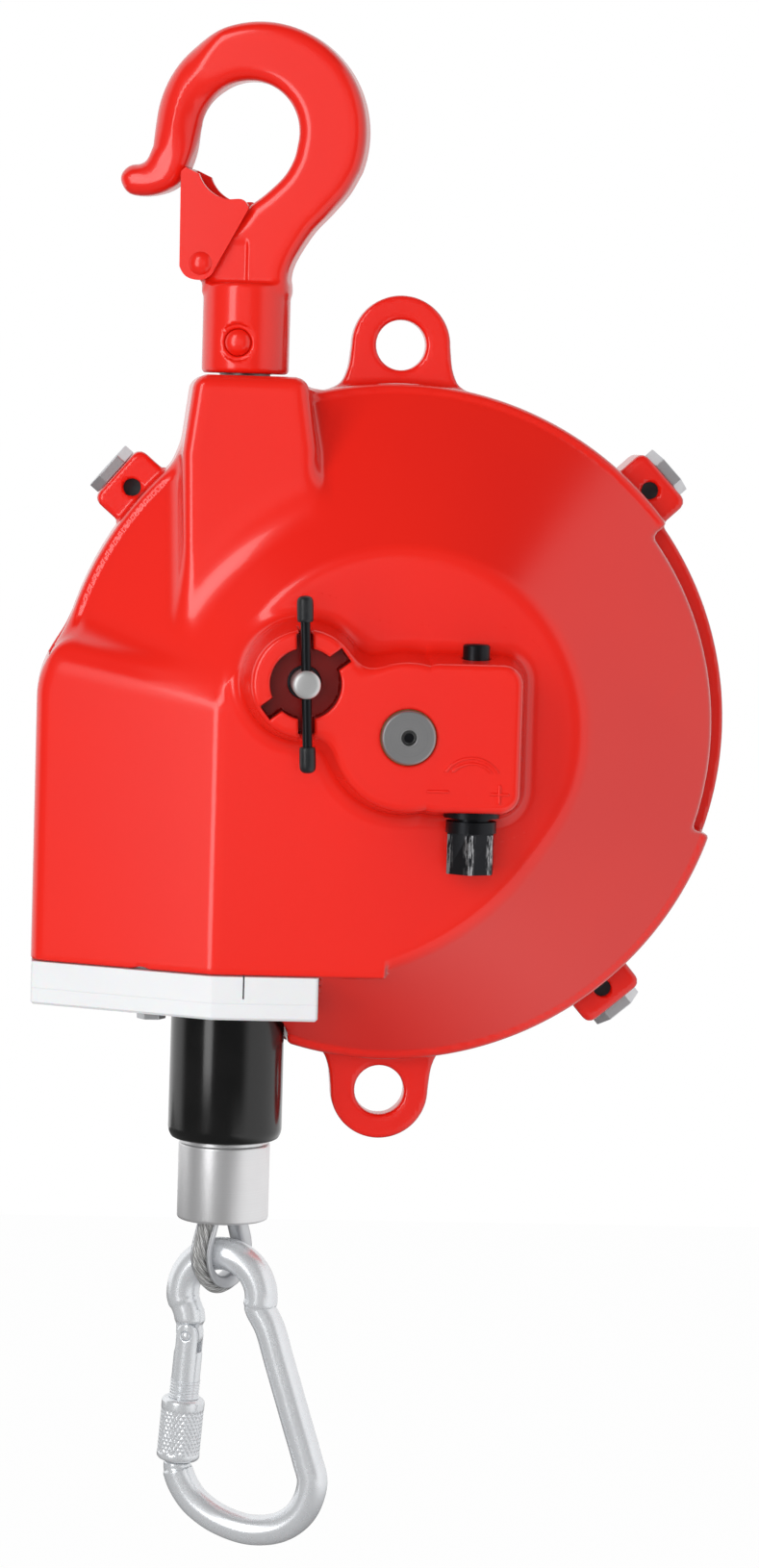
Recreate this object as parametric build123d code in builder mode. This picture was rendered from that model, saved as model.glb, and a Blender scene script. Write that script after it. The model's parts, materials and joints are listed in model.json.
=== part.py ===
from build123d import *
import os
from math import atan, cos, degrees, pi, radians, sin, sqrt, tan

os.makedirs("parts", exist_ok=True)

# Spring tool balancer. Millimetres and degrees.
# The origin is where the top hook bears on its support. +X is right, +Y is away
# from the viewer, +Z is up, and the cable hangs on the line X = 0, Y = 0.

# Cable and drum
stroke = 1500.0
drum_turns = 4.75
drum_radius = stroke / (2 * pi * drum_turns)
rope_radius = 2.38
axis_x = drum_radius
axis_z = -201.0
groove_pitch = 5.6
drum_taper = 0.15
drum_front = -33.0
drum_step = 16.0
barrel_radius = 93.0
barrel_back = 54.0
web = 6.0

# Case
case_radius = 108.0
case_inner = 98.0
parting = 22.0
rim_front = -4.0
plateau_radius = 57.5
plateau_front = -43.0
wall = 4.0
rear_back = 63.0
flange_front = 13.0
flange_back = 28.0
recess_radius = 101.5
recess_from = -18.0
recess_to = 37.5

# Cable outlet box, measured from the drum axis
box_left = -113.5
box_corner = -57.0
box_floor = -77.0
box_slant_back = -14.0
box_inner_back = 18.0
guide_back = 15.4
shoulder_x = -20.0
shoulder_z = -3.0
shoulder_radius = 75.0
shoulder_slope = 0.85
guide_right = -24.0
guide_thickness = 13.6
guide_screw_spots = ((-75.0, -13.0), (-75.0, 7.0))

# Hook pillar, lugs and ears
pillar_front = -27.0
pillar_top = -92.3
stem_radius = 8.0
lug_reach = 120.3
lug_radius = 15.8
lug_hole = 8.0
ear_fronts = {43.0: 13.0, 139.5: 13.0, -50.0: 13.0, 225.0: 18.5}
ear_reach = 118.4
ear_width = 22.0
ear_back = 34.0
ear_hole_radius = 2.8
ear_screw_y = 24.0
ear_screw_radius = 4.0
ear_head_flats = 15.0
ear_head_height = 3.6

# Worm block and worm gear
block_front = -65.0
block_radius = 25.8
block_right = 37.5
block_half = 25.6
block_draft = 7.5
shaft_radius = 8.3
shaft_journal = 10.0
bush_lip = 0.8
gear_module = 1.4
wheel_teeth = 20
wheel_radius = gear_module * wheel_teeth / 2
worm_radius = 7.0
worm_x = wheel_radius + worm_radius
worm_y = -53.0
worm_pitch = pi * gear_module
worm_lead = degrees(atan(worm_pitch / (2 * pi * worm_radius)))
running = 0.03

# Drum lock
lock_x = -31.7
lock_z = 15.5
lock_travel = 8.0
lock_boss = 20.0
lock_floor = 10.0
lock_lip = 1.0
lock_recess = 10.9
lock_pin_radius = 4.3
lock_rod_y = -67.0
lock_rod_tilt = 2.5
lock_slot_turn = 53.0
lock_slot_width = 5.0

# Hanging end
bumper_radius = 18.3
bumper_top = axis_z + box_floor - guide_thickness - 0.3
bumper_bottom = axis_z - 134.5
ferrule_radius = 14.7
ferrule_bottom = axis_z - 160.5
loop_turn = 51.0
loop_inner = 7.8
thimble_sheet = 1.1
loop_z = axis_z - 171.3

# Top hook
hook_yaw = 14.0
hook_thick = 15.0
collar_radius = 13.8
collar_top = -63.4
collar_bottom = -91.5
latch_sheet = 1.6
latch_x = -13.2
latch_z = -57.5

# Carabiner
carabiner_yaw = 22.0
bar_radius = 4.9
bow_radius = 5.3
bow_centre = (0.6, axis_z - 185.5)
bow_line = 13.4
gate_pin = (-10.0, axis_z - 199.3)
gate_foot = (-13.2, axis_z - 240.8)
gate_radius = 4.6
tongue = 4.0
sleeve_radius = 7.1


def front(y):
    """Plane facing the viewer at depth y, with its origin on the drum axis."""
    return Plane(origin=(axis_x, y, axis_z), x_dir=(1, 0, 0), z_dir=(0, -1, 0))


def level(z):
    """Level plane under or over the drum axis, z measured from that axis."""
    return Plane(origin=(axis_x, 0, axis_z + z), x_dir=(1, 0, 0), z_dir=(0, 0, 1))


def yawed(angle, x=0.0, y=0.0, z=0.0):
    """Upright plane turned about the vertical, its normal towards the viewer."""
    turn_by = radians(angle)
    return Plane(
        origin=(x, y, z),
        x_dir=(cos(turn_by), -sin(turn_by), 0),
        z_dir=(-sin(turn_by), -cos(turn_by), 0),
    )


def ear_face(angle, reach):
    """Plane across a radius of the drum axis, its normal pointing outward."""
    out_x = cos(radians(angle))
    out_z = sin(radians(angle))
    return Plane(
        origin=(axis_x + reach * out_x, ear_screw_y, axis_z + reach * out_z),
        x_dir=(0, 1, 0),
        z_dir=(out_x, 0, out_z),
    )


def bench(z, x=0.0, y=0.0):
    """Level plane at height z, its origin at x, y."""
    return Plane(origin=(x, y, z), x_dir=(1, 0, 0), z_dir=(0, 0, 1))


radial = Plane(origin=(axis_x, 0, axis_z), x_dir=(1, 0, 0), z_dir=(0, 0, 1))
drum_axis = Axis((axis_x, 0, axis_z), (0, 1, 0))
load_axis = Axis((0, 0, 0), (0, 0, 1))
upright = Plane(origin=(0, 0, 0), x_dir=(1, 0, 0), z_dir=(0, -1, 0))


def turned(points):
    """Solid turned about the drum axis from a closed outline of radius and depth pairs."""
    with BuildPart() as blank:
        with BuildSketch(radial):
            with BuildLine():
                Polyline(*points, close=True)
            make_face()
        revolve(axis=drum_axis)
    return blank.part


def turned_hanging(points):
    """Solid turned about the load line from a closed outline of radius and height pairs."""
    with BuildPart() as blank:
        with BuildSketch(upright):
            with BuildLine():
                Polyline(*points, close=True)
            make_face()
        revolve(axis=load_axis)
    return blank.part


def finish(name, piece):
    """Label a piece and write its file."""
    piece.part.label = name
    export_step(piece.part, "parts/" + name + ".step")


# Case slope, shared by the cone, its inside and the box shoulder
cone_run = case_radius - 3.0 - plateau_radius
cone_drop = rim_front - plateau_front
cone_slope = cone_run / cone_drop

# The sloping top of the outlet box: it rises to the back and a little to the right
box_top_plane = Plane(
    origin=(axis_x + box_corner, plateau_front, axis_z + 12.4),
    x_dir=(1, 0, 0.101),
    z_dir=(-0.101, -0.565, 1),
)


def box_plan(inset, back):
    """Outline of the outlet box seen from above, set in by a wall."""
    with BuildSketch() as plan:
        with BuildLine():
            Polyline(
                (box_left + inset, back),
                (box_left + inset, box_slant_back + 0.45 * inset),
                (box_corner + 0.35 * inset, plateau_front + inset),
                (-3.0, plateau_front + inset),
                (-3.0, back),
                close=True,
            )
        make_face()
    return plan.sketch


def lug_outline(sign):
    """One lug with its flared foot, above or below the case."""
    foot = case_radius - 8.0
    with BuildSketch() as lug:
        with BuildLine():
            left = Line((-lug_radius - 1.4, sign * (foot + 6.5)), (-lug_radius, sign * lug_reach))
            ThreePointArc(left @ 1, (0, sign * (lug_reach + lug_radius)), (lug_radius, sign * lug_reach))
            right = Line((lug_radius, sign * lug_reach), (lug_radius + 1.4, sign * (foot + 6.5)))
            flare = Spline(right @ 1, (20.5, sign * (foot + 3.2)), (27.0, sign * foot))
            low = Line(flare @ 1, (-27.0, sign * foot))
            Spline(low @ 1, (-20.5, sign * (foot + 3.2)), left @ 0)
        make_face()
        with Locations((0, sign * lug_reach)):
            Circle(lug_hole, mode=Mode.SUBTRACT)
    return lug.sketch


# Solid outlet box with its rounded upper left corner
with BuildPart() as box_body:
    with BuildSketch(level(box_floor)):
        add(box_plan(0.0, parting))
    extrude(amount=125)
    split(bisect_by=box_top_plane, keep=Keep.BOTTOM)
    with BuildSketch(front(parting)):
        with BuildLine():
            side_edge = Line((box_left, box_floor), (box_left, 14.0))
            shoulder_arc = TangentArc(side_edge @ 1, (box_left + 8.5, 25.0), tangent=side_edge % 1)
            Polyline(shoulder_arc @ 1, (-60, 62), (0, 62), (0, box_floor), side_edge @ 0)
        make_face()
    extrude(amount=parting - plateau_front, mode=Mode.INTERSECT)

with BuildPart() as box_hollow:
    with BuildSketch(level(box_floor - 1)):
        add(box_plan(wall, box_inner_back))
    extrude(amount=121)
    split(bisect_by=box_top_plane.offset(-5.5), keep=Keep.BOTTOM)

# The plateau swells to the lower right of the drum axis, over the outlet box
with BuildPart() as shoulder:
    with Locations(Location(front(rim_front - 8.0)) * Pos(shoulder_x, shoulder_z, 0)):
        Cone(
            bottom_radius=shoulder_radius + (cone_drop - 8.0) * shoulder_slope,
            top_radius=shoulder_radius,
            height=cone_drop - 8.0,
            align=(Align.CENTER, Align.CENTER, Align.MIN),
        )
    with BuildSketch(front(parting)):
        Circle(case_radius - 4)
        with Locations((shoulder_x - 100, 0)):
            Rectangle(200, 300, mode=Mode.SUBTRACT)
        with Locations((0, box_floor - 100)):
            Rectangle(300, 200, mode=Mode.SUBTRACT)
    extrude(amount=parting - plateau_front + 5, mode=Mode.INTERSECT)

with BuildPart() as shoulder_hollow:
    with Locations(Location(front(rim_front - 8.0)) * Pos(shoulder_x, shoulder_z, 0)):
        Cone(
            bottom_radius=shoulder_radius - 5.5 + (cone_drop - 8.0) * shoulder_slope,
            top_radius=shoulder_radius - 5.5 + wall * shoulder_slope,
            height=cone_drop - 8.0 - wall,
            align=(Align.CENTER, Align.CENTER, Align.MIN),
        )
    with BuildSketch(front(parting)):
        Circle(case_inner)
        with Locations((shoulder_x - 100, 0)):
            Rectangle(200, 300, mode=Mode.SUBTRACT)
        with Locations((0, box_floor + wall - 100)):
            Rectangle(300, 200, mode=Mode.SUBTRACT)
    extrude(amount=parting - plateau_front + 5, mode=Mode.INTERSECT)

# Hook pillar: a rounded block that grows out of the cone
pillar_height = pillar_top - axis_z
with BuildPart() as pillar:
    with BuildSketch(front(parting)) as pillar_face:
        with BuildLine():
            Polyline(
                (-68.5, 36.0),
                (-70.0, 84.0),
                (-66.8, pillar_height),
                (-31.5, pillar_height),
                (-28.0, 86.0),
                (-27.0, 36.0),
                close=True,
            )
        make_face()
        fillet(pillar_face.vertices().group_by(Axis.Y)[-1], 6.0)
    extrude(amount=parting - pillar_front)
    fillet(pillar.faces().sort_by(Axis.Y)[0].edges(), 4.0)

# Worm block with the lock boss, drawn in towards the viewer
with BuildPart() as worm_block:
    with BuildSketch(front(plateau_front + 1.0)) as block_foot:
        Circle(block_radius)
        with Locations((block_right / 2, 0)):
            Rectangle(block_right, 2 * block_half)
        fillet(block_foot.vertices().sort_by(Axis.X)[-2:], 9.0)
        with BuildLine():
            Polyline((-31, 5), (-23, 28), (-9, 23), (-9, -6), (-22, -4), close=True)
        make_face()
        with Locations((lock_x, lock_z)):
            Circle(lock_boss)
    extrude(amount=plateau_front - block_front, taper=block_draft)
    extrude(worm_block.faces().sort_by(Axis.Y)[0], amount=1.0, taper=40)

with BuildPart() as front_case:
    add(turned([
        (0, parting),
        (case_radius, parting),
        (case_radius, rim_front + 3),
        (case_radius - 0.9, rim_front + 0.9),
        (case_radius - 3, rim_front),
        (plateau_radius + 1.5, plateau_front + 1.2),
        (plateau_radius, plateau_front),
        (0, plateau_front),
    ]))
    add(box_body.part)
    add(shoulder.part)
    add(pillar.part)
    add(worm_block.part)
    # Lugs with holes, and the web from the pillar to the top lug
    for sign in (1, -1):
        with BuildSketch(front(parting)):
            add(lug_outline(sign))
        extrude(amount=parting - flange_front)
    with BuildSketch(front(parting)):
        with BuildLine():
            Polyline((-34, 94), (-34, 105), (-27, 104.5), (-22, 100), (-20, 94), close=True)
        make_face()
    extrude(amount=parting)
    # Ears on the rim
    for angle, ear_front in ear_fronts.items():
        with BuildSketch(front(ear_back)) as ear:
            with Locations(Rotation(0, 0, angle) * Pos(case_radius + 5.5, 0, 0)):
                Rectangle(2 * (ear_reach - case_radius) - 11.2, ear_width)
            fillet(ear.vertices(), 3.0)
            Circle(case_radius + 0.3, mode=Mode.SUBTRACT)
        extrude(amount=ear_back - ear_front)
        with BuildSketch(front(parting)):
            with Locations(Rotation(0, 0, angle) * Pos(case_radius - 1, 0, 0)):
                Rectangle(9, ear_width + 1.5)
        extrude(amount=parting - ear_front)
    # Hollow inside
    add(turned([
        (0, parting),
        (case_inner, parting),
        (case_inner, rim_front + 0.6),
        (plateau_radius - 2.9, plateau_front + wall),
        (0, plateau_front + wall),
    ]), mode=Mode.SUBTRACT)
    add(box_hollow.part, mode=Mode.SUBTRACT)
    add(shoulder_hollow.part, mode=Mode.SUBTRACT)
    # The floor of the box closes again to the right of the cable guide
    with BuildSketch(level(box_floor)):
        with Locations(((guide_right - wall - 3) / 2, (plateau_front + guide_back) / 2)):
            Rectangle(-(guide_right - wall) - 3 + 0.1, guide_back - plateau_front - 2)
    extrude(amount=wall)
    # Room for the cable guide, its screws and the rubber stop under the floor
    with BuildSketch(level(box_floor - 0.05)):
        with Locations((box_left - 10 + (guide_right + 0.3 - box_left + 10) / 2, (guide_back + 0.3 - 60) / 2)):
            Rectangle(guide_right + 0.3 - box_left + 10, guide_back + 0.3 + 60)
    extrude(amount=-guide_thickness - 0.3, mode=Mode.SUBTRACT)
    with BuildSketch(bench(axis_z + box_floor - guide_thickness)):
        Circle(bumper_radius + 1.0)
    extrude(amount=-30, mode=Mode.SUBTRACT)
    with BuildSketch(level(box_floor - 1)):
        with Locations(*guide_screw_spots):
            Circle(2.6)
    extrude(amount=12, mode=Mode.SUBTRACT)
    # Recess on the right of the rim
    with BuildSketch(front(flange_front)) as rim_recess:
        with BuildLine():
            outer = CenterArc((0, 0), case_radius + 4, recess_from, recess_to - recess_from)
            inner = CenterArc((0, 0), recess_radius, recess_from, recess_to - recess_from)
            Line(outer @ 0, inner @ 0)
            Line(outer @ 1, inner @ 1)
        make_face()
    extrude(amount=flange_front - rim_front + 1, mode=Mode.SUBTRACT)
    # Stem bore and its bearing chamber in the pillar
    with BuildSketch(bench(pillar_top + 1)):
        Circle(stem_radius + 0.05)
    extrude(amount=-40, mode=Mode.SUBTRACT)
    with BuildSketch(bench(pillar_top - 16)):
        Circle(15.2)
    extrude(amount=-36, mode=Mode.SUBTRACT)
    # Worm gear pocket, shaft bore and worm bore
    with BuildSketch(front(plateau_front + wall)):
        Circle(16.4)
    extrude(amount=21, mode=Mode.SUBTRACT)
    with BuildSketch(front(plateau_front)):
        Circle(shaft_radius + 2.4)
    extrude(amount=plateau_front - block_front - bush_lip, mode=Mode.SUBTRACT)
    with BuildSketch(front(plateau_front)):
        Circle(shaft_radius + 0.3)
    extrude(amount=30, mode=Mode.SUBTRACT)
    with BuildSketch(bench(axis_z - 30, axis_x + worm_x, worm_y)):
        Circle(8.7)
    extrude(amount=45, mode=Mode.SUBTRACT)
    with BuildSketch(bench(axis_z, axis_x + worm_x, worm_y)):
        Circle(4.2)
    extrude(amount=30, mode=Mode.SUBTRACT)
    # Lock boss: recess, slots in two pairs and the counterbore for the plunger
    with BuildSketch(front(block_front + lock_floor)):
        with Locations((lock_x, lock_z)):
            Circle(lock_recess)
            for slot_angle in (90.0, 90.0 - lock_slot_turn):
                SlotOverall(2 * lock_boss + 8, lock_slot_width, rotation=slot_angle)
            Circle(lock_recess, mode=Mode.ADD)
    extrude(amount=12, mode=Mode.SUBTRACT)
    with BuildSketch(front(plateau_front + wall)):
        with Locations((lock_x, lock_z)):
            Circle(7.2)
    extrude(amount=plateau_front + wall - block_front - lock_floor - lock_lip, mode=Mode.SUBTRACT)
    with BuildSketch(front(plateau_front + wall)):
        with Locations((lock_x, lock_z)):
            Circle(lock_pin_radius + 0.9)
    extrude(amount=20, mode=Mode.SUBTRACT)
    # Blind holes in the ear faces and cross holes for the ear screws
    for angle, ear_front in ear_fronts.items():
        with BuildSketch(front(ear_front + 1 + ear_screw_y - ear_screw_radius - 14)):
            with Locations(Rotation(0, 0, angle) * Pos(111.6, 0, 0)):
                Circle(ear_hole_radius)
        extrude(amount=14, mode=Mode.SUBTRACT)
        with BuildSketch(ear_face(angle, case_radius + 1.4)):
            Circle(ear_screw_radius + 0.05)
        extrude(amount=12, mode=Mode.SUBTRACT)
    # Threaded holes for the case screws
    with BuildSketch(front(parting)):
        with PolarLocations(103.4, 6, start_angle=15):
            Circle(2.55)
    extrude(amount=8, mode=Mode.SUBTRACT)
finish("front_case", front_case)

# Rear case: flange, drafted wall, ribbed back and bearing boss
with BuildPart() as rear_case:
    add(turned([
        (95.0, parting), (case_radius, parting), (case_radius, flange_back - 1), (case_radius - 1, flange_back),
        (98.9, flange_back), (97.2, 56.0), (93.5, rear_back - 1.5), (88.0, rear_back),
        (24.0, rear_back), (22.0, rear_back + 3.0), (9.0, rear_back + 3.0), (9.0, 57.6),
        (92.9, 57.9), (94.0, 54.5), (94.6, 30.0),
    ]))
    with BuildSketch(front(rear_back + 1.6)):
        with PolarLocations(53, 8, start_angle=22.5):
            Rectangle(60, 5)
        Circle(24, mode=Mode.SUBTRACT)
    extrude(amount=4.0)
    with BuildSketch(front(parting)):
        with PolarLocations(103.4, 6, start_angle=15):
            Circle(2.75)
    extrude(amount=-8, mode=Mode.SUBTRACT)
finish("rear_case", rear_case)

# Socket screws that hold the rear case, one group
with BuildPart() as case_screws:
    with BuildSketch(front(flange_back)):
        with PolarLocations(103.4, 6, start_angle=15):
            Circle(2.5)
    extrude(amount=13.0)
    with BuildSketch(front(flange_back)):
        with PolarLocations(103.4, 6, start_angle=15):
            Circle(4.2)
    extrude(amount=-5.0)
    with BuildSketch(front(flange_back + 5.0)):
        with PolarLocations(103.4, 6, start_angle=15):
            RegularPolygon(2.3, 6)
    extrude(amount=2.6, mode=Mode.SUBTRACT)
finish("case_screws", case_screws)

# Low hex screws in the ears, one group
with BuildPart() as ear_screws:
    for angle in ear_fronts:
        with BuildSketch(ear_face(angle, ear_reach)):
            RegularPolygon(ear_head_flats / sqrt(3), 6, rotation=30)
        extrude(amount=ear_head_height)
        with BuildSketch(ear_face(angle, ear_reach)):
            Circle(ear_screw_radius)
        extrude(amount=-(ear_reach - case_radius - 1.7))
finish("ear_screws", ear_screws)

# Cable guide: a nylon plate under the outlet box with a locating step and a belled hole
guide_hole = 4.2
with BuildPart() as cable_guide:
    with BuildSketch(level(box_floor)):
        with BuildLine():
            Polyline(
                (box_left + 0.3, guide_back),
                (box_left + 0.3, box_slant_back - 1.2),
                (box_corner - 0.2, plateau_front - 1.6),
                (guide_right, plateau_front - 1.6),
                (guide_right, guide_back),
                close=True,
            )
        make_face()
    extrude(amount=-guide_thickness)
    fillet(cable_guide.edges().filter_by(Axis.Z), 1.2)
    chamfer(cable_guide.faces().sort_by(Axis.Z)[0].edges(), 0.8)
    with BuildSketch(level(box_floor)):
        with BuildLine():
            Polyline(
                (box_left + wall + 0.5, guide_back - 0.6),
                (box_left + wall + 0.5, box_slant_back + 2.4),
                (box_corner + 1.8, plateau_front + wall + 0.5),
                (guide_right - wall - 0.5, plateau_front + wall + 0.5),
                (guide_right - wall - 0.5, guide_back - 0.6),
                close=True,
            )
        make_face()
    extrude(amount=5)
    with BuildSketch(level(box_floor + 6)):
        with Locations((-axis_x, 0)):
            SlotOverall(2 * guide_hole + 8, 2 * guide_hole, rotation=90)
    extrude(amount=-guide_thickness - 7, mode=Mode.SUBTRACT)
    with BuildSketch(level(box_floor + 5.01)):
        with Locations((-axis_x, 0)):
            SlotOverall(2 * guide_hole + 18, 2 * guide_hole + 10, rotation=90)
    extrude(amount=-5, taper=45, mode=Mode.SUBTRACT)
    with BuildSketch(front(plateau_front - 2)):
        with Locations((-47.3, box_floor - 3.4)):
            Rectangle(0.5, 7)
    extrude(amount=-8, both=True, mode=Mode.SUBTRACT)
    with BuildSketch(level(box_floor - guide_thickness)):
        with Locations(*guide_screw_spots):
            Circle(2.6)
    extrude(amount=22, mode=Mode.SUBTRACT)
finish("cable_guide", cable_guide)

# Screws of the cable guide, one group
with BuildPart() as guide_screws:
    with BuildSketch(level(box_floor - guide_thickness)):
        with Locations(*guide_screw_spots):
            RegularPolygon(8 / sqrt(3), 6)
    extrude(amount=-4)
    with BuildSketch(level(box_floor - guide_thickness)):
        with Locations(*guide_screw_spots):
            Circle(2.5)
    extrude(amount=21)
finish("guide_screws", guide_screws)

# Inner plate that closes the worm gear pocket and carries the shaft
with BuildPart() as bearing_plate:
    add(turned([(shaft_journal + running, -39), (24, -39), (24, -35.2), (shaft_journal + running, -35.2)]))
    with BuildSketch(front(-35)):
        with PolarLocations(20.2, 3, start_angle=60):
            Circle(1.6)
    extrude(amount=5, mode=Mode.SUBTRACT)
finish("bearing_plate", bearing_plate)

# Bronze bushes of the main shaft
with BuildPart() as front_bush:
    add(turned([
        (shaft_radius + running, block_front + bush_lip), (shaft_radius + 2.4, block_front + bush_lip),
        (shaft_radius + 2.4, -60.3), (shaft_radius + running, -60.3),
    ]))
finish("front_bush", front_bush)

with BuildPart() as rear_bush:
    add(turned([(6.5 + running, 57.6), (9.0, 57.6), (9.0, rear_back + 2.5), (6.5 + running, rear_back + 2.5)]))
finish("rear_bush", rear_bush)

# Main shaft: front end seen in the worm block, gear seat, drum journal and rear journal
with BuildPart() as main_shaft:
    add(turned([
        (0, -66.8), (shaft_radius - 0.5, -66.8), (shaft_radius, -66.3), (shaft_radius, -45.5),
        (shaft_journal, -45.5), (shaft_journal, 57.0), (6.5, 57.0), (6.5, 64.5), (0, 64.5),
    ]))
    with BuildSketch(front(-67)):
        Circle(2.3)
    extrude(amount=-5, mode=Mode.SUBTRACT)
    with BuildSketch(front(-59.0)):
        with Locations((0, shaft_radius)):
            Rectangle(4, 3)
    extrude(amount=-12.0, mode=Mode.SUBTRACT)
    # Keyway for the spring arbor
    with BuildSketch(front(24)):
        with Locations((0, shaft_journal)):
            Rectangle(4, 3)
    extrude(amount=-21, mode=Mode.SUBTRACT)
finish("main_shaft", main_shaft)

# Worm wheel: teeth as short prisms set at the lead angle round a hub
tooth_tip = wheel_radius + 1.2
tooth_root = wheel_radius - 1.55
wheel_face = 10.0


def wheel_tooth(angle):
    """One tooth of the worm wheel, its flanks rounded towards the tip."""
    with BuildPart() as tooth:
        lean = Plane(
            origin=(axis_x, worm_y, axis_z),
            x_dir=(cos(radians(angle)), 0, sin(radians(angle))),
            z_dir=(
                sin(radians(worm_lead)) * -sin(radians(angle)),
                -cos(radians(worm_lead)),
                sin(radians(worm_lead)) * cos(radians(angle)),
            ),
        )
        with BuildSketch(lean):
            with BuildLine():
                low = Spline((tooth_root - 0.5, -1.1), (wheel_radius, -0.93), (tooth_tip, -0.42))
                tip = Line(low @ 1, (tooth_tip, 0.42))
                high = Spline(tip @ 1, (wheel_radius, 0.93), (tooth_root - 0.5, 1.1))
                Line(high @ 1, low @ 0)
            make_face()
        extrude(amount=wheel_face / 2 - 0.5, both=True)
    return tooth.part


with BuildPart() as worm_wheel:
    add(turned([
        (shaft_radius, worm_y - wheel_face / 2), (tooth_root, worm_y - wheel_face / 2),
        (tooth_root, worm_y + wheel_face / 2), (11.5, worm_y + wheel_face / 2),
        (11.5, -45.6), (shaft_radius, -45.6),
    ]))
    for count in range(wheel_teeth):
        add(wheel_tooth(360.0 * (count + 0.5) / wheel_teeth))
    with BuildSketch(front(-59.0)):
        with Locations((0, shaft_radius + 0.2)):
            Rectangle(4, 3)
    extrude(amount=-14.0, mode=Mode.SUBTRACT)
finish("worm_wheel", worm_wheel)

# Keys of the worm wheel and of the spring arbor, one group
with BuildPart() as shaft_keys:
    with BuildSketch(front(-58.0)):
        with Locations((0, shaft_radius)):
            Rectangle(3.96, 2.9)
    extrude(amount=-10.0)
    with BuildSketch(front(26.0)):
        with Locations((0, shaft_journal)):
            Rectangle(3.96, 2.9)
    extrude(amount=-18.0)
finish("shaft_keys", shaft_keys)

# Worm with its black hex end: thread swept along a helix round the core
worm_root = 5.35
thread_length = 5 * worm_pitch
worm_centre_x = axis_x + worm_x
with BuildPart() as worm:
    with BuildSketch(bench(axis_z - 29.0, worm_centre_x, worm_y)):
        Circle(worm_root + 0.25)
    extrude(amount=29.0 + 14.5)
    with BuildSketch(bench(axis_z + 14.5, worm_centre_x, worm_y)):
        Circle(3.8)
    extrude(amount=6.5)
    with BuildSketch(bench(axis_z - 29.6, worm_centre_x, worm_y)):
        Circle(7.8)
    extrude(amount=3.6)
    with BuildSketch(bench(axis_z - 42.2, worm_centre_x, worm_y)):
        RegularPolygon(14.0 / sqrt(3), 6, rotation=22)
    extrude(amount=12.7)
    with BuildLine():
        thread_path = Helix(
            pitch=worm_pitch,
            height=thread_length,
            radius=worm_root,
            center=(worm_centre_x, worm_y, axis_z - thread_length / 2),
        )
    with BuildSketch(Plane(origin=thread_path @ 0, x_dir=(1, 0, 0), z_dir=thread_path % 0)):
        with BuildLine():
            Polyline((-0.3, -1.66), (0.0, -1.55), (2.85, -0.55), (2.85, 0.55), (0.0, 1.55), (-0.3, 1.66), close=True)
        make_face()
    sweep(path=thread_path, is_frenet=True)
finish("worm", worm)

# Bush at the foot of the worm and the plug over its head
with BuildPart() as worm_bush:
    with BuildSketch(bench(axis_z - 24.9, worm_centre_x, worm_y)):
        Circle(8.68)
        Circle(worm_root + 0.25 + running, mode=Mode.SUBTRACT)
    extrude(amount=8.0)
finish("worm_bush", worm_bush)

with BuildPart() as worm_plug:
    with BuildSketch(bench(axis_z + 21.6, worm_centre_x, worm_y)):
        Circle(4.15)
    extrude(amount=6.8)
    with BuildSketch(bench(axis_z + 28.4, worm_centre_x, worm_y)):
        RegularPolygon(2.3, 6)
    extrude(amount=-2.5, mode=Mode.SUBTRACT)
    chamfer(worm_plug.faces().sort_by(Axis.Z)[-1].outer_wire().edges(), 0.5)
finish("worm_plug", worm_plug)

# Cable drum: hub, front web with locking holes, tapered grooved rim and spring barrel
groove_depths = [groove_pitch * count for count in range(-5, 3)]


def land(y):
    """Radius of the drum where the rope centre runs at depth y."""
    return drum_radius + drum_taper * y


lock_reach = sqrt(lock_x ** 2 + lock_z ** 2)
lock_angle = degrees(atan(lock_z / lock_x)) + 180
with BuildPart() as cable_drum:
    add(turned([
        (13.0, drum_front), (land(drum_front) + 1.0, drum_front), (land(drum_step), drum_step),
        (barrel_radius, drum_step), (barrel_radius, barrel_back), (barrel_radius - 3, barrel_back),
        (barrel_radius - 3, drum_step + 4), (21.0, drum_step + 4), (13.0, drum_step + 4),
    ]))
    add(turned([
        (21.0, drum_front + web), (land(drum_front) - 6.5, drum_front + web),
        (land(drum_step) - 6.5, drum_step - 0.01), (21.0, drum_step - 0.01),
    ]), mode=Mode.SUBTRACT)
    with BuildSketch(radial) as grooves:
        for depth in groove_depths:
            with Locations((land(depth), depth)):
                Circle(rope_radius + 0.12)
    revolve(axis=drum_axis, mode=Mode.SUBTRACT)
    with BuildSketch(front(drum_front + web + 1)):
        with PolarLocations(lock_reach, 12, start_angle=lock_angle):
            Circle(lock_pin_radius + 0.7)
    extrude(amount=web + 2, mode=Mode.SUBTRACT)
finish("cable_drum", cable_drum)

with BuildPart() as drum_cover:
    add(turned([
        (13.0, barrel_back - 7.8), (17.0, barrel_back - 7.8), (17.0, barrel_back),
        (barrel_radius, barrel_back), (barrel_radius, barrel_back + 1.5),
        (barrel_radius - 1.0, barrel_back + 2.5), (13.0, barrel_back + 2.5),
    ]))
finish("drum_cover", drum_cover)

# Two bronze bushes on which the drum turns, one group
with BuildPart() as drum_bushes:
    for near, far in ((drum_front, drum_front + 12), (barrel_back - 7.8, barrel_back + 2.5)):
        add(turned([
            (shaft_journal + running, near), (13.0, near), (13.0, far), (shaft_journal + running, far),
        ]))
finish("drum_bushes", drum_bushes)

# Flat spiral spring in the barrel: one strip, its coils evenly spaced
spring_coils = 8
spring_strip = 1.8
spring_inner = 22.0
spring_outer = 87.0
spring_points = 14


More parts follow.
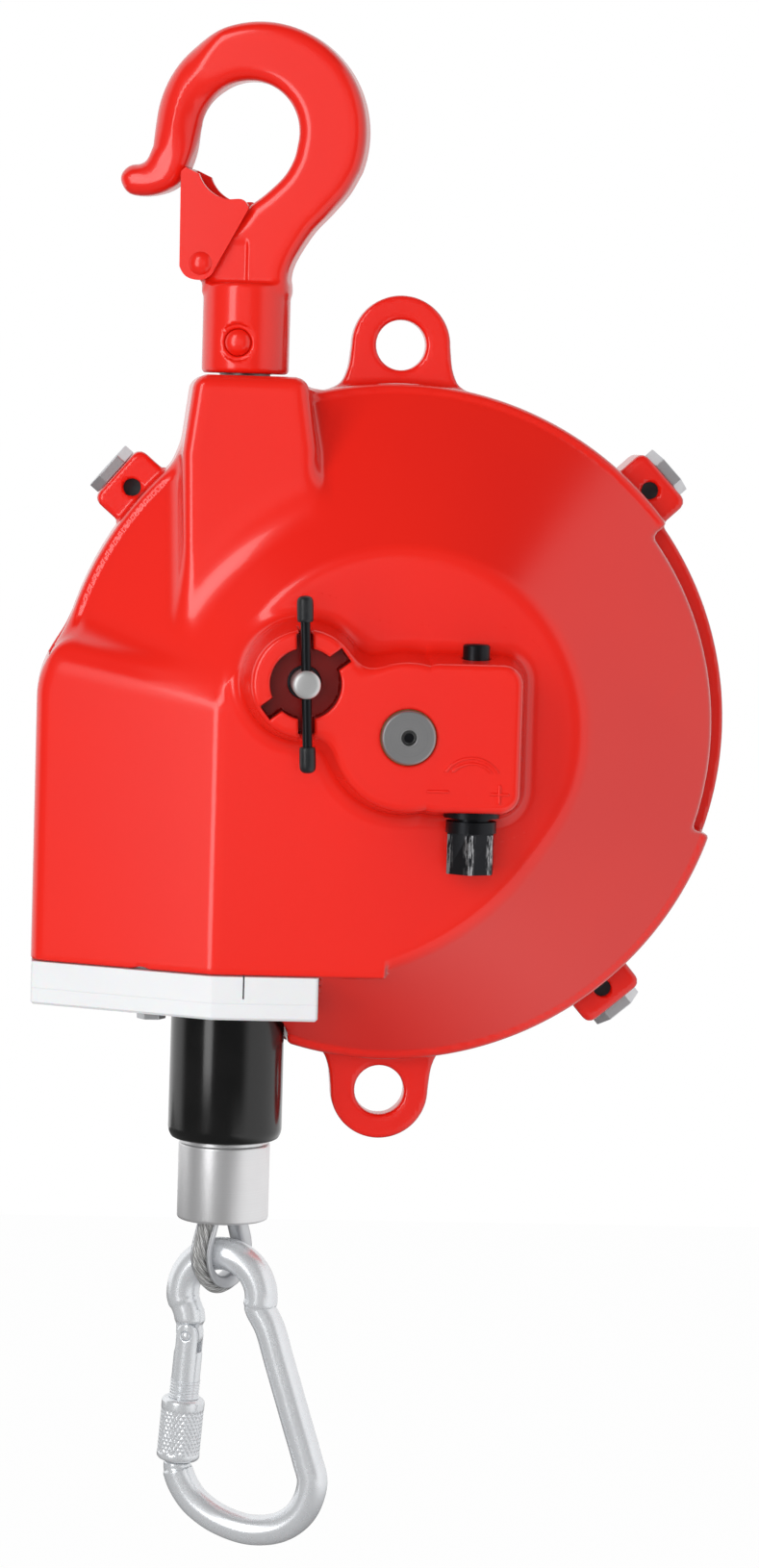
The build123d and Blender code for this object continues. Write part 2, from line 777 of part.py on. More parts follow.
def spiral(offset):
    """Points of the spring's flat spiral, moved outward by an offset."""
    points = []
    for step in range(spring_coils * spring_points + 1):
        angle = 2 * pi * step / spring_points
        reach = spring_inner + (spring_outer - spring_inner) * step / (spring_coils * spring_points) + offset
        points.append((reach * cos(angle), reach * sin(angle)))
    return points


with BuildPart() as main_spring:
    with BuildSketch(front(50)):
        with BuildLine():
            inside = Spline(*spiral(0.0))
            outside = Spline(*spiral(spring_strip))
            Line(inside @ 0, outside @ 0)
            Line(inside @ 1, outside @ 1)
        make_face()
    extrude(amount=26)
finish("main_spring", main_spring)

with BuildPart() as spring_arbor:
    add(turned([(shaft_journal, 24), (19.5, 24), (19.5, 45.4), (shaft_journal, 45.4)]))
    with BuildSketch(front(52)):
        with Locations((0, shaft_journal + 0.2)):
            Rectangle(4, 3.2)
    extrude(amount=30, mode=Mode.SUBTRACT)
finish("spring_arbor", spring_arbor)

# Wound turns of the cable and the quarter turn that leaves the drum
with BuildPart() as cable_turns:
    with BuildSketch(radial):
        for depth in groove_depths[:5]:
            with Locations((land(depth), depth)):
                Circle(rope_radius)
    revolve(axis=drum_axis)
    with BuildSketch(Plane(origin=(axis_x, 0, axis_z), x_dir=(0, 0, 1), z_dir=(-1, 0, 0))):
        with Locations((drum_radius, 0)):
            Circle(rope_radius)
    revolve(axis=drum_axis, revolution_arc=-88)
finish("cable_turns", cable_turns)

# Lock plunger: pin with a cross rod, plastic caps, spring and guide bush
lock_middle = (axis_x + lock_x, axis_z + lock_z)


def lock_face(y):
    """Plane facing the viewer at depth y, with its origin on the plunger."""
    return Plane(origin=(lock_middle[0], y, lock_middle[1]), x_dir=(1, 0, 0), z_dir=(0, -1, 0))


rod_half = 27.0
rod_tilt = radians(lock_rod_tilt)
rod_plane = Plane(
    origin=(lock_middle[0], lock_rod_y, lock_middle[1]),
    x_dir=(0, 1, 0),
    z_dir=(-sin(rod_tilt), 0, cos(rod_tilt)),
)
with BuildPart() as lock_pin:
    with BuildSketch(lock_face(-36.2)):
        Circle(lock_pin_radius)
    extrude(amount=34.6)
    fillet(lock_pin.faces().sort_by(Axis.Y)[0].edges(), 1.2)
    chamfer(lock_pin.faces().sort_by(Axis.Y)[-1].edges(), 0.8)
    with BuildSketch(rod_plane.offset(-10)):
        Circle(1.55)
    extrude(amount=20, mode=Mode.SUBTRACT)
finish("lock_pin", lock_pin)

with BuildPart() as lock_rod:
    with BuildSketch(rod_plane.offset(-rod_half + 1.5)):
        Circle(1.5)
    extrude(amount=2 * rod_half - 3)
finish("lock_rod", lock_rod)

with BuildPart() as lock_caps:
    for side in (1, -1):
        with BuildSketch(rod_plane.offset(side * (rod_half - 8.0))):
            Circle(2.5)
            Circle(1.52, mode=Mode.SUBTRACT)
        extrude(amount=side * 6.5)
        with BuildSketch(rod_plane.offset(side * (rod_half - 1.5))):
            Circle(2.5)
        extrude(amount=side * 1.5, taper=30)
finish("lock_caps", lock_caps)

spring_front = block_front + lock_floor + lock_lip + 0.1
with BuildPart() as lock_spring:
    with BuildSketch(lock_face(spring_front)):
        Circle(6.8)
        Circle(lock_pin_radius + 0.1, mode=Mode.SUBTRACT)
    extrude(amount=-1.0)
    for coil in range(3):
        with BuildSketch(Plane(origin=(lock_middle[0], spring_front + 1.64 + 1.25 * coil, lock_middle[1]),
                               x_dir=(1, 0, 0), z_dir=(0, 0, 1))):
            with Locations((5.9, 0)):
                Circle(0.62)
        revolve(axis=Axis((lock_middle[0], 0, lock_middle[1]), (0, 1, 0)))
finish("lock_spring", lock_spring)

with BuildPart() as lock_bush:
    with BuildSketch(lock_face(-37.0)):
        Circle(7.2)
        Circle(lock_pin_radius + running, mode=Mode.SUBTRACT)
    extrude(amount=4.0)
finish("lock_bush", lock_bush)

# Rubber stop, ferrule, cable end, loop and thimble
with BuildPart() as rubber_stop:
    add(turned_hanging([
        (3.2, bumper_top - 0.0), (bumper_radius - 1.2, bumper_top), (bumper_radius, bumper_top - 1.2),
        (bumper_radius, bumper_bottom + 3.5), (bumper_radius - 0.9, bumper_bottom + 1.1),
        (bumper_radius - 3.2, bumper_bottom), (3.2, bumper_bottom),
    ]))
finish("rubber_stop", rubber_stop)

with BuildPart() as ferrule:
    add(turned_hanging([
        (rope_radius + 0.05, bumper_bottom), (ferrule_radius - 0.7, bumper_bottom),
        (ferrule_radius - 0.7, bumper_bottom - 1.6), (ferrule_radius, bumper_bottom - 2.2),
        (ferrule_radius, ferrule_bottom + 1.2), (ferrule_radius - 1.2, ferrule_bottom),
        (0, ferrule_bottom), (0, ferrule_bottom + 9), (rope_radius + 0.05, ferrule_bottom + 9),
    ]))
finish("ferrule", ferrule)

with BuildPart() as cable_end:
    with BuildSketch(bench(ferrule_bottom + 9.05)):
        Circle(rope_radius)
    extrude(amount=bumper_top - ferrule_bottom - 9.05)
finish("cable_end", cable_end)

with BuildPart() as cable_run:
    with BuildSketch(bench(bumper_top)):
        Circle(rope_radius)
    extrude(amount=axis_z - bumper_top)
finish("cable_run", cable_run)

# The loop: a round bottom and two straight legs that close towards the ferrule
loop_lean = radians(22.0)
loop_top = ferrule_bottom - loop_z
loop_plane = yawed(-loop_turn, z=loop_z)
rope_reach = loop_inner + thimble_sheet + rope_radius + 0.03


def leg_end(reach, top):
    """Half width of the loop at a height, for one distance from the loop centre."""
    lift = (top - reach * sin(loop_lean)) / cos(loop_lean)
    return reach * cos(loop_lean) - lift * sin(loop_lean)


def loop_face(reach, top):
    """Closed teardrop at one distance from the loop centre, cut straight across its top."""
    side = reach * cos(loop_lean)
    rise = reach * sin(loop_lean)
    with BuildSketch() as teardrop:
        with BuildLine():
            Line((-leg_end(reach, top), top), (-side, rise))
            ThreePointArc((-side, rise), (0, -reach), (side, rise))
            Line((side, rise), (leg_end(reach, top), top))
            Line((leg_end(reach, top), top), (-leg_end(reach, top), top))
        make_face()
    return teardrop.sketch


with BuildPart() as rope_loop:
    with BuildLine(loop_plane) as loop_path:
        loop_side = rope_reach * cos(loop_lean)
        loop_rise = rope_reach * sin(loop_lean)
        loop_end = leg_end(rope_reach, loop_top + 2)
        Line((-loop_end, loop_top + 2), (-loop_side, loop_rise))
        ThreePointArc((-loop_side, loop_rise), (0, -rope_reach), (loop_side, loop_rise))
        Line((loop_side, loop_rise), (loop_end, loop_top + 2))
    with BuildSketch(Plane(origin=loop_path.line @ 0, z_dir=loop_path.line % 0)):
        Circle(rope_radius)
    sweep(path=loop_path.line)
    split(bisect_by=bench(ferrule_bottom), keep=Keep.BOTTOM)
finish("rope_loop", rope_loop)

throat = 1.5
with BuildPart() as thimble:
    with BuildSketch(loop_plane):
        add(loop_face(loop_inner + 4.3, loop_top - 0.3))
        add(loop_face(loop_inner, loop_top + 1), mode=Mode.SUBTRACT)
    extrude(amount=3.5, both=True)
    # Channel for the rope, then the rounded throat where the carabiner bears
    with BuildSketch(loop_plane):
        add(loop_face(loop_inner + 7.0, loop_top + 1))
        add(loop_face(loop_inner + thimble_sheet, loop_top + 2), mode=Mode.SUBTRACT)
    extrude(amount=2.5, both=True, mode=Mode.SUBTRACT)
    for side in (1, -1):
        with BuildSketch(loop_plane.offset(3.5 * side)):
            add(loop_face(loop_inner + throat, loop_top + 1))
        extrude(amount=-throat * side, taper=45, mode=Mode.SUBTRACT)
finish("thimble", thimble)

# Swivel of the top hook: stem, pin, bearing ring and nut inside the pillar
hook_face = yawed(hook_yaw)
stem_pin_z = -82.0
with BuildPart() as hook_stem:
    with BuildSketch(bench(-125.0)):
        Circle(stem_radius)
    extrude(amount=55.0)
    with BuildSketch(yawed(hook_yaw, z=stem_pin_z)):
        Circle(4.2)
    extrude(amount=20, both=True, mode=Mode.SUBTRACT)
    chamfer(hook_stem.faces().sort_by(Axis.Z)[0].edges(), 1.0)
finish("hook_stem", hook_stem)

with BuildPart() as stem_nut:
    with BuildSketch(bench(pillar_top - 20.0)):
        RegularPolygon(24.0 / sqrt(3), 6, rotation=10)
        Circle(stem_radius, mode=Mode.SUBTRACT)
    extrude(amount=-9.7)
finish("stem_nut", stem_nut)

with BuildPart() as stem_bearing:
    with BuildSketch(bench(pillar_top - 16.0)):
        Circle(14.5)
        Circle(stem_radius + 0.1, mode=Mode.SUBTRACT)
    extrude(amount=-3.7)
finish("stem_bearing", stem_bearing)

with BuildPart() as stem_pin:
    with BuildSketch(yawed(hook_yaw, z=stem_pin_z)):
        Circle(4.2)
    extrude(amount=14.6, both=True)
    chamfer(stem_pin.edges().filter_by(GeomType.CIRCLE), 0.8)
finish("stem_pin", stem_pin)

# Top hook: flat forged hook with rounded edges on its round collar
hook_inner = 16.0
hook_outer = 34.5
with BuildPart() as top_hook:
    with BuildSketch(hook_face) as hook_shape:
        with BuildLine():
            mouth_angle = radians(-12.0)
            mouth = (hook_inner * cos(mouth_angle), -hook_inner + hook_inner * sin(mouth_angle))
            nose = (-hook_inner * cos(radians(7.0)), -hook_inner + hook_inner * sin(radians(7.0)))
            left_out = (3.0 - hook_outer * cos(radians(7.7)), -16.0 - hook_outer * sin(radians(7.7)))
            right_out = (3.0 + hook_outer * cos(radians(19.8)), -16.0 - hook_outer * sin(radians(19.8)))
            ThreePointArc(nose, (0, 0), mouth)
            Spline(
                mouth, (11.6, -29.5), (6.0, -35.0), (1.4, -38.5),
                tangents=((sin(mouth_angle), -cos(mouth_angle)), (-0.82, -0.57)),
            )
            Polyline((1.4, -38.5), (-2.0, -43.0), (-13.0, -52.0))
            Spline((-13.0, -52.0), (-17.6, -57.5), (-13.4, -63.4), tangents=((-0.8, -0.6), (0.1, -1.0)))
            Line((-13.4, -63.4), (13.4, -63.4))
            Spline(
                (13.4, -63.4), (15.8, -54.5), (26.0, -41.2), right_out,
                tangents=((0.05, 1.0), (sin(radians(19.8)), cos(radians(19.8)))),
            )
            ThreePointArc(right_out, (3.0, -16.0 + hook_outer), left_out)
            Spline(
                left_out, (-33.6, -26.0), (-38.9, -27.8), (-41.4, -31.0), (-38.0, -34.6),
                (-30.0, -34.6), (-22.5, -31.0), (-17.9, -23.0), nose,
                tangents=((sin(radians(7.7)), -cos(radians(7.7))), (sin(radians(7.0)), cos(radians(7.0)))),
            )
        make_face()
    extrude(amount=hook_thick / 2, both=True)
    with BuildSketch(bench(collar_bottom)):
        Circle(collar_radius)
    extrude(amount=collar_top - collar_bottom)
    with BuildSketch(bench(collar_bottom)):
        Circle(stem_radius + 0.02)
    extrude(amount=-70.0 - collar_bottom, mode=Mode.SUBTRACT)
    with BuildSketch(yawed(hook_yaw, z=stem_pin_z)):
        Circle(4.22)
    extrude(amount=20, both=True, mode=Mode.SUBTRACT)
    # Hole of the latch pin and the slot for its spring
    with BuildSketch(hook_face):
        with Locations((latch_x, latch_z)):
            Circle(2.62)
    extrude(amount=20, both=True, mode=Mode.SUBTRACT)
    with BuildSketch(hook_face):
        with Locations((latch_x - 3.0, latch_z)):
            Rectangle(17, 11.0)
    extrude(amount=3.2, both=True, mode=Mode.SUBTRACT)
finish("top_hook", top_hook)

# Spring latch: bent sheet with two flanges and a web across the throat
with BuildPart() as hook_latch:
    with BuildSketch(hook_face) as flange:
        with BuildLine():
            low = Spline(
                (-20.0, -58.5), (-17.2, -62.0), (-13.2, -62.7), (-9.6, -60.9),
                tangents=((0.35, -0.94), (0.72, 0.69)),
            )
            right = Line(low @ 1, (1.6, -40.4))
            corner = Spline(right @ 1, (0.6, -38.0), (-4.7, -37.4), tangents=((0.46, 0.89), (-1.0, -0.05)))
            scoop = ThreePointArc(corner @ 1, (-10.6, -35.0), (-14.4, -29.6))
            Polyline(scoop @ 1, (-18.8, -27.6), (-20.3, -29.0), low @ 0)
        make_face()
        with Locations((latch_x, latch_z)):
            Circle(2.65, mode=Mode.SUBTRACT)
    extrude(amount=hook_thick / 2 + 2.3, both=True)
    with BuildSketch(hook_face):
        with Locations((0, -45)):
            Rectangle(37.4, 60)
    extrude(amount=hook_thick / 2 + 0.7, both=True, mode=Mode.SUBTRACT)
finish("hook_latch", hook_latch)

with BuildPart() as latch_rivet:
    with BuildSketch(yawed(hook_yaw, *(hook_face.from_local_coords((latch_x, latch_z, 0))))):
        Circle(2.6)
    extrude(amount=hook_thick / 2 + 2.4, both=True)
    for side in (1, -1):
        with BuildSketch(yawed(hook_yaw, *(hook_face.from_local_coords((latch_x, latch_z, side * 9.9))))):
            Circle(3.7)
        extrude(amount=side * 1.5)
    rims = latch_rivet.edges().filter_by(GeomType.CIRCLE).filter_by(lambda edge: edge.radius > 3.5).sort_by(Axis.Y)
    chamfer([rims[0], rims[-1]], 0.8)
finish("latch_rivet", latch_rivet)

with BuildPart() as latch_spring:
    for place in (-1.5, 0.0, 1.5):
        with BuildSketch(Plane(
            origin=hook_face.from_local_coords((latch_x, latch_z, place)),
            x_dir=(0, 0, 1),
            z_dir=(cos(radians(hook_yaw)), -sin(radians(hook_yaw)), 0),
        )):
            with Locations((4.0, 0)):
                Circle(0.6)
        revolve(axis=Axis(
            hook_face.from_local_coords((latch_x, latch_z, place)),
            (sin(radians(hook_yaw)), cos(radians(hook_yaw)), 0),
        ))
finish("latch_spring", latch_spring)

# Carabiner: bar bent in one plane, thicker over the top, with a hinged gate and a lock sleeve
clip_face = yawed(carabiner_yaw)


def clip(x, z):
    """Point of the carabiner plane, z measured from the drum axis."""
    return (x, axis_z + z)


def bow_point(angle):
    """Point on the centre line of the thick top bow."""
    return (bow_centre[0] + bow_line * cos(radians(angle)), bow_centre[1] + bow_line * sin(radians(angle)))


with BuildPart() as carabiner_body:
    with BuildLine(clip_face) as bow_path:
        ThreePointArc(bow_point(193), bow_point(90), bow_point(-15))
    with BuildSketch(Plane(origin=bow_path.line @ 0, z_dir=bow_path.line % 0)):
        Circle(bow_radius)
    sweep(path=bow_path.line)
    with BuildLine(clip_face) as long_path:
        shank = Spline(
            bow_point(-12), clip(17.2, -195.0),
            tangents=((sin(radians(-12)), -cos(radians(-12))), (0.323, -0.946)),
        )
        straight = Line(shank @ 1, clip(31.0, -236.0))
        Spline(
            straight @ 1, clip(32.5, -244.0), clip(29.7, -252.8), clip(24.0, -258.2), clip(15.3, -261.2),
            clip(4.7, -259.4), clip(-3.3, -255.0), clip(-9.3, -250.0), clip(-13.3, -244.8),
            tangents=((0.323, -0.946), (-0.35, 0.94)),
        )
    with BuildSketch(Plane(origin=long_path.line @ 0, z_dir=long_path.line % 0)):
        Circle(bar_radius)
    sweep(path=long_path.line)
    with BuildLine(clip_face) as neck_path:
        Spline(
            bow_point(190), clip(-10.9, -191.5), clip(-10.1, -195.0),
            tangents=((sin(radians(10)), -cos(radians(10))), (0.12, -0.99)),
        )
    with BuildSketch(Plane(origin=neck_path.line @ 0, z_dir=neck_path.line % 0)):
        Circle(bar_radius)
    sweep(path=neck_path.line)
    # Flat tongue round the gate pin
    with BuildSketch(clip_face):
        with Locations(gate_pin):
            Circle(4.1)
        with Locations((gate_pin[0] - 0.3, gate_pin[1] + 3.5)):
            Rectangle(8.2, 7.0)
    extrude(amount=tongue / 2, both=True)
    with BuildSketch(clip_face):
        with Locations(gate_pin):
            Circle(1.62)
    extrude(amount=tongue, both=True, mode=Mode.SUBTRACT)
    # Nose under the gate
    with BuildSketch(Plane(
        origin=clip_face.from_local_coords((gate_foot[0] + 0.03, gate_foot[1] - 0.4, 0)),
        z_dir=clip_face.from_local_coords((0.0769, 0.997, 0)),
    )):
        Circle(4.4)
    extrude(amount=-8.0)
finish("carabiner_body", carabiner_body)

gate_reach = sqrt((gate_pin[0] - gate_foot[0]) ** 2 + (gate_pin[1] - gate_foot[1]) ** 2)
gate_up = ((gate_pin[0] - gate_foot[0]) / gate_reach, (gate_pin[1] - gate_foot[1]) / gate_reach)


def gate_section(up_from_foot):
    """Plane across the gate at a distance above its foot, its normal up the gate."""
    place = (gate_foot[0] + up_from_foot * gate_up[0], gate_foot[1] + up_from_foot * gate_up[1], 0)
    return Plane(
        origin=clip_face.from_local_coords(place),
        z_dir=(
            gate_up[0] * cos(radians(carabiner_yaw)),
            -gate_up[0] * sin(radians(carabiner_yaw)),
            gate_up[1],
        ),
    )


with BuildPart() as carabiner_gate:
    with BuildSketch(gate_section(0.0)):
        Circle(gate_radius)
    extrude(amount=gate_reach + 4.6)
    with BuildSketch(clip_face):
        with Locations(gate_pin):
            Rectangle(30, 30)
            Circle(3.9, mode=Mode.SUBTRACT)
        with Locations((gate_pin[0] - 0.8, gate_pin[1] - 10)):
            Rectangle(20, 20, mode=Mode.SUBTRACT)
    extrude(amount=10, both=True, mode=Mode.SUBTRACT)
    with BuildSketch(clip_face):
        with Locations((gate_pin[0] - 0.3, gate_pin[1] + 3)):
            Rectangle(20, 17)
    extrude(amount=tongue / 2 + 0.3, both=True, mode=Mode.SUBTRACT)
    with BuildSketch(clip_face):
        with Locations(gate_pin):
            Circle(1.65)
    extrude(amount=10, both=True, mode=Mode.SUBTRACT)
finish("carabiner_gate", carabiner_gate)

with BuildPart() as gate_rivet:
    with BuildSketch(yawed(carabiner_yaw, *(clip_face.from_local_coords((*gate_pin, 0))))):
        Circle(1.58)
    extrude(amount=4.2, both=True)
finish("gate_rivet", gate_rivet)

with BuildPart() as lock_sleeve:
    with BuildSketch(gate_section(0.2)):
        Circle(sleeve_radius)
        Circle(gate_radius + 0.08, mode=Mode.SUBTRACT)
    extrude(amount=20.6)
    rims = lock_sleeve.edges().filter_by(GeomType.CIRCLE).filter_by(lambda edge: edge.radius > sleeve_radius - 0.1)
    chamfer(rims, 0.8)
    with BuildSketch(gate_section(0.2)):
        Circle(5.6)
    extrude(amount=3.4, mode=Mode.SUBTRACT)
finish("lock_sleeve", lock_sleeve)
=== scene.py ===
import json
import math

import bmesh
import bpy
import numpy as np
from mathutils import Matrix, Vector

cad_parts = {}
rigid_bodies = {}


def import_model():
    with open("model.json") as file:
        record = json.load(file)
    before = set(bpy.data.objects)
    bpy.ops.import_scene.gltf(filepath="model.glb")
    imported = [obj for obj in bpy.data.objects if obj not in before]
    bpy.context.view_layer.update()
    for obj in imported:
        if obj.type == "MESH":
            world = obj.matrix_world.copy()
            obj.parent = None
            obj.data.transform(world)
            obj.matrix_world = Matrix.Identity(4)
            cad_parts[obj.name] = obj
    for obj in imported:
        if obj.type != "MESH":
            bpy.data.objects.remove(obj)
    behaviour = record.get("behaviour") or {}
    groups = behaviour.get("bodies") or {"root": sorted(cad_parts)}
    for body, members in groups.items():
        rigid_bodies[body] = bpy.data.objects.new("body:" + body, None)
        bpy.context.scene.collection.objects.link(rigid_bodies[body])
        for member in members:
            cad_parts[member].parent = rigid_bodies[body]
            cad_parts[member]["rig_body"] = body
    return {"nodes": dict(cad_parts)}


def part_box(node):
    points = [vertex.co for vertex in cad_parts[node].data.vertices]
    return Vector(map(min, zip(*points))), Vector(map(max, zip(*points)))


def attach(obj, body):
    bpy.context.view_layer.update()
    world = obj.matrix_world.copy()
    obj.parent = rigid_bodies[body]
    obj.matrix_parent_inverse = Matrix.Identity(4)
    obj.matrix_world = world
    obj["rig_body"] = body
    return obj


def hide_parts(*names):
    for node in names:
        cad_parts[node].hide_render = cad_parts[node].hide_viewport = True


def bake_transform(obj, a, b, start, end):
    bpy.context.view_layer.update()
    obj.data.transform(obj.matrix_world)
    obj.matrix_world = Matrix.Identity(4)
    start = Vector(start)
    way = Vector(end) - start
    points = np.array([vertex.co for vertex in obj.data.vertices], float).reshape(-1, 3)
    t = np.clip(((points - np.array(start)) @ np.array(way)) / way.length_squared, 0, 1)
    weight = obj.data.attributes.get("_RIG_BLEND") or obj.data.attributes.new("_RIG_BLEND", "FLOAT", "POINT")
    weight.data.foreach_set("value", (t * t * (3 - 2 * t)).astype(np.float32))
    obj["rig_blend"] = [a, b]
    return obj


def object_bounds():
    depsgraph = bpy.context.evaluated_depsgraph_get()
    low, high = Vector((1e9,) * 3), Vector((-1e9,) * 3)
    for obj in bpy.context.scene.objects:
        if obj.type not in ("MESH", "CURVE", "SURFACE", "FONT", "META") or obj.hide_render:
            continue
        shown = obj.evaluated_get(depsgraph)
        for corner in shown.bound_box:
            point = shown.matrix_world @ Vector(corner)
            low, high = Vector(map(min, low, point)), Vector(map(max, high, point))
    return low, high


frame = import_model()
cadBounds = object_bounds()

print("tool balancer: frame loaded with", len(frame["nodes"]), "nodes")


# shapes: everything below is in millimetres, measured from the drum axis unless a line says otherwise

def middleOf(node):
    low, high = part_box(node)
    return (np.array(low) + np.array(high)) * 500.0


axisX, _, axisZ = middleOf("main_shaft")
drumOrigin = np.array([axisX, 0.0, axisZ])
loadX = -axisX                         # the cable hangs this far left of the drum axis
caseBack = 22.0                        # parting face between the two halves of the case


def joined(a, b, k):
    # smooth least of two distances: two solids run into each other with a hollow fillet of about k
    h = np.maximum(k - np.abs(a - b), 0.0) / k
    return np.minimum(a, b) - h * h * k / 4.0


def common(a, b, k):
    # smooth greatest of two distances: the edge between two faces is rounded by about k
    return -joined(-a, -b, k)


def ramp(a, low, high):
    # 0 below low, 1 above high, an even curve between
    t = np.clip((a - low) / (high - low), 0.0, 1.0)
    return t * t * (3.0 - 2.0 * t)


def outlineDistance(corners, x, z):
    # distance to a closed outline of straight runs, negative inside: least distance to any run,
    # with the sign from how often a level line from the point crosses the outline
    corners = np.asarray(corners, float)
    nearest, inside = np.inf, False
    for (ax, az), (bx, bz) in zip(corners, np.roll(corners, -1, axis=0)):
        runX, runZ = bx - ax, bz - az
        along = np.clip(((x - ax) * runX + (z - az) * runZ) / (runX ** 2 + runZ ** 2), 0.0, 1.0)
        nearest = np.minimum(nearest, (x - ax - along * runX) ** 2 + (z - az - along * runZ) ** 2)
        if az != bz:
            inside = inside ^ (((az > z) != (bz > z)) & (x < ax + (z - az) * runX / runZ))
    return np.sqrt(nearest) * np.where(inside, -1.0, 1.0)


def rounded(corners, radius):
    # outline whose corners are rounded: the distance to it moved in by the radius, then out again
    corners = np.asarray(corners, float)
    back = corners - np.roll(corners, 1, axis=0)
    ahead = np.roll(corners, -1, axis=0) - corners
    back /= np.linalg.norm(back, axis=1)[:, None]
    ahead /= np.linalg.norm(ahead, axis=1)[:, None]
    turn = np.sign(np.sum(back[:, 0] * ahead[:, 1] - back[:, 1] * ahead[:, 0]))
    inward = turn * (np.stack([-back[:, 1], back[:, 0]], 1) + np.stack([-ahead[:, 1], ahead[:, 0]], 1))
    inward *= (radius / (1.0 + np.sum(back * ahead, axis=1)))[:, None]
    return corners + inward


def smoothCurve(points, count, closed=False):
    # Catmull-Rom curve through the points, read at even steps along its length
    points = np.asarray(points, float)
    if closed:
        points = np.vstack([points[-1:], points, points[:2]])
    else:
        points = np.vstack([2 * points[0] - points[1], points, 2 * points[-1] - points[-2]])
    t = np.linspace(0.0, len(points) - 3 - 1e-9, 60 * len(points))
    cell = t.astype(int)
    t = (t - cell)[:, None]
    a, b, c, d = (points[cell + k] for k in range(4))
    fine = 0.5 * (2 * b + (c - a) * t + (2 * a - 5 * b + 4 * c - d) * t ** 2 + (3 * b - a - 3 * c + d) * t ** 3)
    length = np.append(0.0, np.cumsum(np.linalg.norm(np.diff(fine, axis=0), axis=1)))
    steps = np.linspace(0.0, length[-1], count)
    return np.stack([np.interp(steps, length, fine[:, k]) for k in range(points.shape[1])], 1)


def arcPoints(centre, radius, start, end, count=24):
    # points on an arc, angles in degrees from +X towards +Z
    turn = np.radians(np.linspace(start, end, count))
    return np.stack([centre[0] + radius * np.cos(turn), centre[1] + radius * np.sin(turn)], 1)


class Place:
    # local frame of a piece: local x, z and n run along three square directions from an origin
    def __init__(self, origin=(0.0, 0.0, 0.0), x=(1, 0, 0), z=(0, 0, 1), n=(0, 1, 0)):
        self.origin = np.asarray(origin, float)
        self.turn = np.array([x, n, z], float)

    def out(self, points):
        return self.origin + np.asarray(points) @ self.turn


drumPlace = Place(drumOrigin)          # x right, n away from the viewer, z up, from the drum axis


def yawedPlace(angle, origin=(0.0, 0.0, 0.0)):
    # upright plane turned about the vertical; n points away from the viewer
    c, s = math.cos(math.radians(angle)), math.sin(math.radians(angle))
    return Place(origin, x=(c, -s, 0), z=(0, 0, 1), n=(s, c, 0))


def meshPiece(name, points, faces, place=None, normals=None, uv=None):
    # one mesh object from whole arrays; faces is a list of arrays of corner numbers
    if place is not None:
        points = place.out(points)
    mesh = bpy.data.meshes.new(name)
    corners = np.concatenate([np.asarray(f).ravel() for f in faces]).astype(np.int32)
    sizes = np.concatenate([np.full(len(f), np.asarray(f).shape[1]) for f in faces])
    mesh.vertices.add(len(points))
    mesh.vertices.foreach_set("co", (np.asarray(points) * 0.001).astype(np.float32).ravel())
    mesh.loops.add(len(corners))
    mesh.loops.foreach_set("vertex_index", corners)
    mesh.polygons.add(len(sizes))
    mesh.polygons.foreach_set("loop_start", (np.cumsum(sizes) - sizes).astype(np.int32))
    mesh.polygons.foreach_set("use_smooth", np.ones(len(sizes), bool))
    mesh.update(calc_edges=True)
    if uv is not None:
        layer = mesh.uv_layers.new(name="UVMap")
        layer.data.foreach_set("uv", np.asarray(uv)[corners].astype(np.float32).ravel())
    if normals is not None:
        if place is not None:
            normals = normals @ place.turn
        mesh.normals_split_custom_set_from_vertices(normals.astype(np.float32))
    piece = bpy.data.objects.new(name, mesh)
    bpy.context.scene.collection.objects.link(piece)
    return piece


def gradient(field, points, reach):
    # slope of a field at points, from the values a little to each side
    slopes = []
    for axis in range(3):
        step = np.zeros(3)
        step[axis] = reach
        slopes.append((field(*(points + step).T) - field(*(points - step).T)) / (2 * reach))
    return np.stack(slopes, 1)


